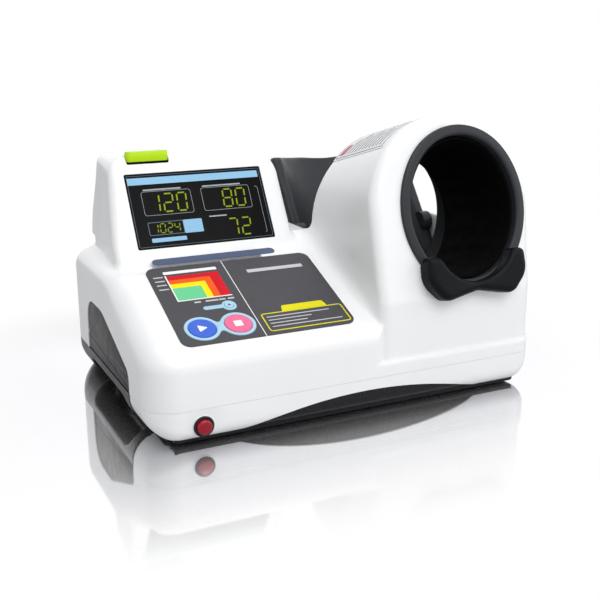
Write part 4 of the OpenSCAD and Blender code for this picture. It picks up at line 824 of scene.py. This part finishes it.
def make_keys():
    def printed(name, shapes, material, node="key_panel", lift=0.0):
        stamps(name, shapes, 1.0, 1.0 + PRINT + lift, DECK, material, node)

    s0, s1 = 20.0, 172.0
    gaps = [surround_outline(0.2)[::-1], feed_outline(0.2)[::-1]]
    for node, pts, holes in (
            ("key_panel", [[-217, s0, 12], [-117.5, s0, 0], [-117.5, s1, 0], [-217, s1, 12]], gaps),
            ("guide_panel", [[-116.5, s0, 0], [1, s0, 12], [1, s1, 12], [-116.5, s1, 0]], ())):
        panel = flat_mesh(node + "_print", corners(pts), 0, 1, DECK, holes)
        piece(bevel(panel, 0.25, 2), "panel", node)
    line = solid_box("panel_divider", (-117.5, s0, 0), (-116.5, s1, 1.02), DECK)
    piece(line, "print_white", ["key_panel", "guide_panel"])
    printed("key_panel_header", [rect(-196.5, 156.4, -128, 162.0, 1.0)], "print_white")
    printed("guide_panel_header", [rect(-92, 141.8, -16, 148.2, 1.0)], "print_grey", "guide_panel")
    x0, y0 = -195, 103.0
    for name, w, h, lift in (("red", 66, 49, 0), ("orange", 53, 41, 0.02), ("yellow", 44, 33, 0.04),
                             ("green", 36, 24.5, 0.06)):
        printed("chart_" + name, [rect(x0, y0, x0 + w, y0 + h)], name, lift=lift)
    x1, y1 = x0 - 1.6, y0 - 1.6
    axes = np.array([[x1, y1], [x0 + 67, y1], [x0 + 67, y0], [x0, y0], [x0, y0 + 51], [x1, y0 + 51]])
    printed("chart_axes", [axes], "print_white", lift=0.08)
    rows = [rect(x0 - 16, y0 + h - 1, x0 - 4, y0 + h + 1) for h in (24.5, 33, 41, 49)]
    columns = [rect(x0 + w - 5, y0 - 8, x0 + w + 3, y0 - 5.4) for w in (22, 36, 44, 53, 64)]
    printed("chart_scale", rows + columns, "print_grey")
    tab = corners([[-81, 58.6, 0], [-21, 58.6, 0], [-24, 69.8, 3], [-78, 69.8, 3]])
    printed("notice_frame", [framed(-109.6, 25.6, -3, 59, 4, 1.5), tab], "signal", "guide_panel")
    rows = [rect(-104, y, -104 + w, y + 1.4, 0.4) for y, w in ((51, 82), (45, 56), (39, 48), (33, 92))]
    printed("notice_rows", rows, "print_grey", "guide_panel")
    for name, outline, keys in (("key_surround", surround_outline(), ("start", "stop")),
                                ("feed_surround", feed_outline(), ("feed",))):
        band = flat_mesh(name, outline, 0, 1.6, DECK, [key_hole(key)[::-1] for key in keys])
        piece(bevel(band, 0.5), "blue_pale", "button_surround")
    for name, material, slot, dish, sign_top, ink, sign in (
            ("start", "blue", "key_blue", 0.5, 2.16, "print_white",
             corners([[-4.5, -6, 0.8], [6.5, 0, 0.8], [-4.5, 6, 0.8]], 15)),
            ("stop", "pink", "key_pink", 0.5, 2.16, "print_white", rect(-5, -5, 5, 5, 0.8)),
            ("feed", "blue_pale", "label_white", 0.2, 2.3, "slate",
             corners([[-2.6, -1.6, 0.3], [2.6, -1.6, 0.3], [0, 2.4, 0.3]], 15))):
        x, s, r = KEYS[name]
        place = Place(x, s * CD, DECK_Z + s * SD, DECK_TILT)
        key = revolved(name + "_key", dished(r, 2.4, dish, 1.0), place)
        piece(key, material, name + "_button", name)
        piece(flat_mesh(name + "_mark", sign, 1.7, sign_top, place), ink, name + "_button", name)
    pill = solid_box("title_pill", (-202, 178.5, 0), (-38, 190.5, 0.8), DECK, 5.9)
    piece(bevel(pill, 0.25, 2), "slate", "title_strip")


# ---- emergency stop
def make_stop():
    collar = [[9.35, 8], [10.4, 8], [10.4, -0.6], [12.3, -0.6], [12.3, -1.3], [12.1, -1.8], [11.6, -2.05],
              [10.8, -2.1], [10.0, -2.0], [9.5, -1.6], [9.35, -1.2], [9.35, 8]]
    piece(revolved("emergency_collar_ring", collar, STOP, axis="y"), "ring", "emergency_collar")
    dome = [[0, 12], [9, 12], [9, 10.3], [11, 10.3], [11, 8.3], [9, 8.3], [9, -3.2], [8.9, -4.2], [8.5, -5.2],
            [7.7, -6.0], [6.4, -6.5], [4.6, -6.8], [2.4, -6.95], [0, -7]]
    piece(revolved("emergency_dome", dome, STOP, axis="y"), "red_dome", "emergency_button",
          "emergency")


# ---- printer
def make_printer():
    key = solid_box("lid_release_key", (-37, -6, -9), (19, 5.5, 4), TOP, 5.7)
    piece(bevel(key, 1.6), "lime", "lid_release", "release")

    def lid_field(X, Y, Z):
        y, z = Y - TOP_Y, Z - TOP_Z
        c, s = math.cos(math.radians(TOP_TILT)), math.sin(math.radians(TOP_TILT))
        v, w = y * c - z * s, y * s + z * c
        top = tower_body(X, Y, Z)
        plate = np.maximum(np.maximum(np.abs(X + 170) - 34, np.maximum(12 - v, v - 78)), -3.9 - w)
        return meet(np.maximum(top, -2.4 - top), plate, 0.7)

    lid = field_mesh("printer_lid_cover", lid_field, (-210, 255, 284), (-130, 345, 304), 1.0, rounds=2)
    piece(lid, "white", "printer_lid", "lid", 50)
    barrel = [[0, -30.6], [5.5, -30.6], [5.8, -30.2], [5.8, 30.2], [5.5, 30.6], [0, 30.6]]
    hinge = revolved("printer_lid_barrel", barrel, lambda p: TOP(p[:, [2, 0, 1]] + [0, 78, -6]), 48)
    piece(hinge, "white", "printer_lid", "lid")


# ---- tunnel
def oval_sweep(name, profile, shift=None):
    """Ring whose cross-section [inset, depth] runs round the oval."""
    rings = []
    for d, y in profile:
        p = oval(d)
        q = np.stack([p[:, 0], np.full(len(p), y), p[:, 1]], 1)
        rings.append(q if shift is None else shift(q))
    return tube_mesh(name, rings, TUNNEL)


def make_tunnel():
    ring = [[3.5, 0.05], [0.2, 0.05], [0, -0.4], *arc(2.6, -1.9, 2.6, 180, 265, 7), [5, -4.8], [8.2, -5.0],
            *arc(9.4, -1.4, 3.6, 280, 360, 8), [13, 4], [13, 14], [8.7, 14], [8.7, 22], [3.5, 22]]
    piece(oval_sweep("entry_ring_band", ring), "ring", "entry_ring")

    def upright(q):
        """Turns the ring's outer end upright."""
        t = np.clip((q[:, 1] - 150) / 10, 0, 1)
        out = q.copy()
        out[:, 1] = q[:, 1] * (1 - t) + t * ((169.1038 + (q[:, 1] - 160) - q[:, 2] * ST) / CT)
        return out

    rear = [[8.7, 142], [8.7, 150], [13, 150], [13, 162.2], [12.4, 162.9], [11, 163], [2, 163], [0.6, 162.8],
            [0, 162.2], [0, 160], [3.5, 160], [3.5, 142]]
    piece(oval_sweep("rear_ring_band", rear, upright), "ring", "rear_ring")
    piece(oval_sweep("cuff_drum_wall", [[9, 14], [9, 150], [11.5, 150], [11.5, 14]]), "white",
          "cuff_drum")
    rows = [[11.9, 16.5 + 131 * k / 24] for k in range(25)]
    rows += [[12.1 + 3.6 * (1 - abs(k / 12 - 1) ** 6), 147.5 - 131 * k / 24] for k in range(25)]
    bladder = oval_sweep("air_bladder_bag", rows)
    piece(bladder, "bladder", "air_bladder", angle=60)

    n = 96
    base = oval(0, n)
    inward = oval(10, n) - base
    inward /= np.linalg.norm(inward, axis=1)[:, None]
    count = len(base)
    angle = np.arange(count) / count * 2 * math.pi
    rng = np.random.default_rng(7)
    waves = [(int(rng.integers(5, 23)), rng.uniform(0, 6.28), rng.uniform(0.25, 0.6), rng.uniform(0.5, 2.0),
              rng.uniform(0, 6.28)) for _ in range(9)]

    def band(d, y):
        """One ring of the sleeve; its folds die out towards both ends."""
        f = np.zeros(count)
        for k, ph, amp, ky, py in waves:
            f += amp * np.sin(k * angle + ph + 0.8 * math.sin(ky * y / 45 + py))
        f = f * min(1, max(0, (y - 10) / 30)) * min(1, max(0, (150 - y) / 20))
        q = base + inward * (d + np.maximum(f + 0.6, -0.1) * 0.55)[:, None]
        return np.stack([q[:, 0], np.full(count, y), q[:, 1]], 1)

    inner = [(16.4 - 1.6 * (1 - ease(y, 4, 11.5)), y) for y in np.linspace(4.2, 149, 52)]
    rings = [band(d + 1.9, y) for d, y in inner] + [band(d, y) for d, y in inner[::-1]]
    sleeve = tube_mesh("cuff_sleeve_cloth", rings, TUNNEL)
    sleeve.data.flip_normals()
    piece(sleeve, "fabric", "cuff_sleeve", angle=70)


PAD_OUTLINE = [[-50, -113, 16], [0, -103, 40], [50, -113, 16], [73, -88, 30], [71, -57, 7], [-71, -57, 7],
               [-73, -88, 30]]
pad_shape = outline_field(PAD_OUTLINE)


def ring_field(x, z, d):
    """Signed distance to the ring's outline made smaller by d."""
    ax, az = np.abs(x), np.abs(z)
    side = np.hypot(ax - FLANK_X, az) - FLANK_R
    crown = np.hypot(ax, az - CROWN_RISE) - CROWN_R
    return np.where(az * -FLANK_X > CROWN_RISE * (ax - FLANK_X), crown, side) + d


def pad_field(X, Y, Z):
    """Pad with a swollen front and a scooped top, cut back behind the ring."""
    y, z = tunnel_local(Y, Z)
    x = X - RING_X
    swell = 1.5 * np.exp(-((x / 45) ** 2 + ((z + 85) / 22) ** 2))
    body = meet(pad_shape(x, z), -22 + swell - y - 0.02 * np.abs(x), 8)
    body = np.maximum(body, y + 0.3)
    scoop = np.hypot(x, z + 92 - 58.5) - 58.5
    scoop = np.minimum(scoop, np.maximum(np.abs(x) - 54, -92 + 36.5 - z))
    body = meet(body, -scoop, 5)
    ringed = np.maximum(np.maximum(ring_field(x, z, -0.3), -ring_field(x, z, 13.3)), -5.3 - y)
    return np.maximum(body, -ringed)


def make_pad():
    pad = field_mesh("arm_pad_cushion", pad_field, (RING_X - 76, -24, 122), (RING_X + 76, 24, 196), 1.6)
    piece(pad, "pad", "arm_pad", angle=45)


def make_guide_plate():
    def wrap(p):
        """Flat sheet to the round top of the tunnel."""
        a = p[:, 0] / ARCH_R
        r = ARCH_R + 0.1 + p[:, 2]
        return ARCH(np.stack([r * np.sin(a), p[:, 1], r * np.cos(a)], 1))
    degree = math.radians(1) * ARCH_R
    a0, a1 = -46 * degree, -12 * degree

    def printed(name, shapes, material, z0=0.6, z1=0.6 + PRINT):
        stamps("guide_plate_" + name, shapes, z0, z1, wrap, material, "guide_plate", curve=3)

    printed("sheet", [corners([[a0, 18, 3], [a1, 18, 3], [a1, 148, 3], [a0, 148, 3]], 15)], "label", 0, 0.6)
    o = corners([[a0 + 3, 22, 2], [a1 - 14, 22, 4], [a1 - 3, 34, 4], [a1 - 3, 144, 2], [a0 + 3, 144, 2]], 15)
    i = corners([[a0 + 4.2, 23.2, 1], [a1 - 14.6, 23.2, 3], [a1 - 4.2, 34.6, 3], [a1 - 4.2, 142.8, 1],
                 [a0 + 4.2, 142.8, 1]], 15)
    printed("border", [(o, [i[::-1]])], "dark_line")
    printed("bar", [rect(a0 + 8, 128, a0 + 30, 139, 1)], "pink_bar")
    printed("rows", [rect(a0 + 8, 122 - 9 * k, a0 + (58 if k % 3 else 44), 124.5 - 9 * k, 0.4)
                     for k in range(11)], "dark_line")


# ---- elbow rest
elbow_end = outline_field([[-65, -90, 0], [121.5, -90, 0], [144, -45, 10], [112.2, 20, 0], [-65, 20, 0]])


def elbow_field(X, Y, Z):
    """Round cradle between two flat lips."""
    y, z = Y - ELBOW_Y, Z - ELBOW_Z
    s, n = y * CE + z * SE, z * CE - y * SE
    x = X - ELBOW_X
    far = np.hypot(x, n - ELBOW_ARC_N)
    outer = np.minimum(np.maximum(far - ELBOW_ARC_R - 12, n), np.maximum(-12 - n, n))
    outer = meet(np.abs(x) - ELBOW_HW, outer, 3)
    shell = meet(outer, ELBOW_ARC_R - far, 3)
    return meet(shell, elbow_end(s, n), 4)


def make_elbow():
    lo, hi = (ELBOW_X - 113, 150, 80), (ELBOW_X + 113, 384, 296)
    rest = field_mesh("elbow_rest_cradle", elbow_field, lo, hi, 2.4)
    for sign in (-1, 1):
        boss = along_x(circle(0, 0, 14, 48), *mirrored(sign, 95.8, 109.7), "b", ELBOW)
        boolean(rest, boss, "UNION")
    piece(rest, "ring", "elbow_rest", "elbow", 45)


# ---- rear, feet, straps
def make_rear():
    def outline(x, w, h, r=0.8):
        return rect(x - w / 2, REAR_Z - h / 2, x + w / 2, REAR_Z + h / 2, r)

    def plate(name, x, w, h, y0, y1, r, holes=()):
        """Plate on the rear centred at x, with holes of [x, width, height, corner]."""
        return along_y(outline(x, w, h, r), y0, y1, name, BODY, [outline(*hole)[::-1] for hole in holes])

    panel = plate("rear_panel_plate", -115, 140, 70, 378.5, 381, 3,
                  [(INLET_X, 27.8, 20.8), (SWITCH_X, 17.8, 23.8), (PORT_X, 16.8, 12.8)])
    piece(bevel(panel, 0.4, 2), "cover", "rear_panel")
    socket = [(INLET_X, 24, 16.5, 3)]
    flange = plate("power_inlet_flange", INLET_X, 35, 26, 381, 383, 3, socket)
    for ob in (bevel(flange, 0.5, 2), plate("power_inlet_cup", INLET_X, 27, 20, 357, 381, 2, socket),
               plate("power_inlet_floor", INLET_X, 24, 16.5, 357, 361, 3)):
        piece(ob, "trim", "power_inlet")
    pins = []
    for dx, dz in ((-7, 2), (0, -2), (7, 2)):
        x, z = INLET_X + dx, REAR_Z + dz
        pins.append(along_y(rect(x - 1, z - 2, x + 1, z + 2, 0.4), 360, 375, "p", BODY))
    piece(bevel(merged(pins, "power_inlet_pins"), 0.3, 2), "steel", "power_inlet")
    for name, x, w, h, w2, h2, deep, material, slot in (
            ("switch_frame", SWITCH_X, 21, 27, 14, 20, 16, "trim", "base_black"),
            ("data_port", PORT_X, 20, 16, 13, 9, 14, "steel", "metal_steel")):
        lip = plate(name + "_lip", x, w, h, 381, 382.5, 1.5, [(x, w2, h2)])
        tube = plate(name + "_shell", x, w - 4, h - 4, 381 - deep, 381, 1, [(x, w2, h2)])
        for ob in (bevel(lip, 0.4, 2), tube):
            piece(ob, material, name)
    piece(plate("data_port_tongue", PORT_X, 9, 2.4, 367, 379, 0.3), "trim", "data_port")
    rocker = corners([[-3.5, -8.5, 0.6], [3.2, -8.7, 1.2], [5.6, 0, 14], [3.2, 8.7, 1.2], [-3.5, 8.5, 0.6]], 8)
    ob = along_x(rocker, -6.5, 6.5, "power_rocker_key", Place(SWITCH_X, 375, REAR_Z, 8))
    piece(bevel(ob, 0.4, 2), "trim", "power_rocker", "rocker")


def make_feet():
    foot = [[0, 1.5], [4.1, 1.5], [4.3, 1.2], [4.3, 0.5], [4.6, 0.1], [5, 0], [12.2, 0], [12.7, 0.2], [13, 0.7],
            [13, 3], [0, 3]]
    for i, (x, y) in enumerate([(x, y) for x in (-205, 205) for y in (50, 342)]):
        piece(revolved("rubber_foot_%d" % i, foot, Place(x, y, 0), 48), "rubber", "rubber_feet")


def make_strap():
    strap = flat_mesh("cuff_strap_web", rect(71, 42, 111, 168, 1.5), -0.5, 0.5,
                      lambda p: BODY(np.stack([87 + p[:, 2], p[:, 0], p[:, 1]], 1)))
    piece(bevel(strap, 0.3, 2), "strap", "cuff_strap")


for make in (make_casing, make_base, make_display, make_keys, make_stop, make_printer, make_tunnel, make_pad,
             make_guide_plate, make_elbow, make_rear, make_feet, make_strap):
    make()

# ---- pieces that keep their own form
for names, material in (
        ("display_frame printer_frame emergency_switch elbow_switch pump_bracket", "trim"),
        ("display_board key_board main_board", "board"),
        ("platen_roller", "rubber"), ("paper_roll", "paper"), ("spool_gear", "ivory"),
        ("roll_spindle elbow_pivot_pins drive_bracket strap_spool motor_pinion air_pump exhaust_valves "
         "power_supply casing_screws", "steel"),
        ("wrap_motor loudspeaker", "motor"), ("air_hose", "hose")):
    for n in names.split():
        for s in nodes[n].material_slots:
            s.material = M[material]


# ---- floor, light and camera
def stage_material():
    """Polished white floor: it mirrors most close to the machine and is plain white far from it."""
    m = bpy.data.materials.new("floor_white")
    g = Graph(m)

    def value(kind, *args):
        return g.add("Math", dict(enumerate(args)), operation=kind)[0]

    def fade(near, far, lo, hi):
        return g.add("MapRange", {0: away, "From Min": near, "From Max": far, "To Min": lo, "To Max": hi},
                     interpolation_type="SMOOTHSTEP")[0]

    def mixed(fac, a, b):
        return g.add("MixShader", {0: fac, 1: a, 2: b})[0]

    at = g.add("SeparateXYZ", {0: g.add("TexCoord")["Object"]})
    dx, dy = [value("MAXIMUM", value("SUBTRACT", value("ABSOLUTE", at[i]), half), 0.0)
              for i, half in ((0, 0.25), (1, 0.17))]
    away = value("SQRT", value("ADD", value("MULTIPLY", dx, dx), value("MULTIPLY", dy, dy)))
    lit = g.add("BsdfDiffuse", {"Color": (0.93, 0.93, 0.93, 1)})[0]
    plain = g.add("Emission", {"Color": WHITE, "Strength": 1.0})[0]
    mirror = g.add("BsdfGlossy", {"Color": (0.8, 0.8, 0.82, 1), "Roughness": 0.05})[0]
    seen = mixed(fade(0.0, 0.27, 0.97, 0.0), mixed(fade(0.0, 0.3, 0.0, 1.0), lit, plain), mirror)
    unseen = g.add("BsdfDiffuse", {"Color": (0.66, 0.66, 0.67, 1)})[0]
    g.add("OutputMaterial", {0: mixed(g.add("LightPath")["Is Camera Ray"], unseen, seen)})
    return m


far = 6000
floor = new_object("floor", [(-far, -far, 0), (far, -far, 0), (far, far, 0), (-far, far, 0)], [(0, 1, 2, 3)])
floor.data.materials.append(stage_material())

# The world is white to the camera, a little brighter in mirrors, and a soft light on the machine.
scene.world = bpy.data.worlds.new("studio")
g = Graph(scene.world)
path = g.add("LightPath")
gain = g.add("Math", {0: path["Is Glossy Ray"], 1: 0.24, 2: 1.0}, operation="MULTIPLY_ADD")[0]
either = g.add("Math", {0: path["Is Camera Ray"], 1: path["Is Glossy Ray"]}, operation="MAXIMUM")[0]
light = g.add("Background", {0: WHITE, 1: 0.55})[0]
seen = g.add("Background", {0: WHITE, 1: gain})[0]
g.add("OutputWorld", {0: g.add("MixShader", {0: either, 1: light, 2: seen})[0]})


def area_light(name, place, target, size, power):
    d = bpy.data.lights.new(name, "AREA")
    d.shape = "RECTANGLE"
    d.size, d.size_y = size
    d.energy = power
    o = linked(name, d)
    o.location = place
    o.rotation_euler = (Vector(target) - Vector(place)).to_track_quat("-Z", "Y").to_euler()


area_light("key", (0.1, -1.9, 1.9), (0, 0, 0.15), (1.8, 1.2), 29)
area_light("top", (0.0, 0.2, 2.4), (0, 0, 0.1), (2.0, 1.6), 15)
area_light("side", (2.0, -1.4, 1.0), (0, 0, 0.15), (1.2, 1.2), 8)

cam_data = bpy.data.cameras.new("camera")
cam_data.lens = 56.44
cam_data.sensor_width = 36
camera = linked("camera", cam_data)
camera.location = (-0.5307, -1.0990, 0.4478)
camera.rotation_euler = (math.radians(74.0), 0, math.radians(-26.0))
scene.camera = camera
scene.view_settings.view_transform = "Standard"
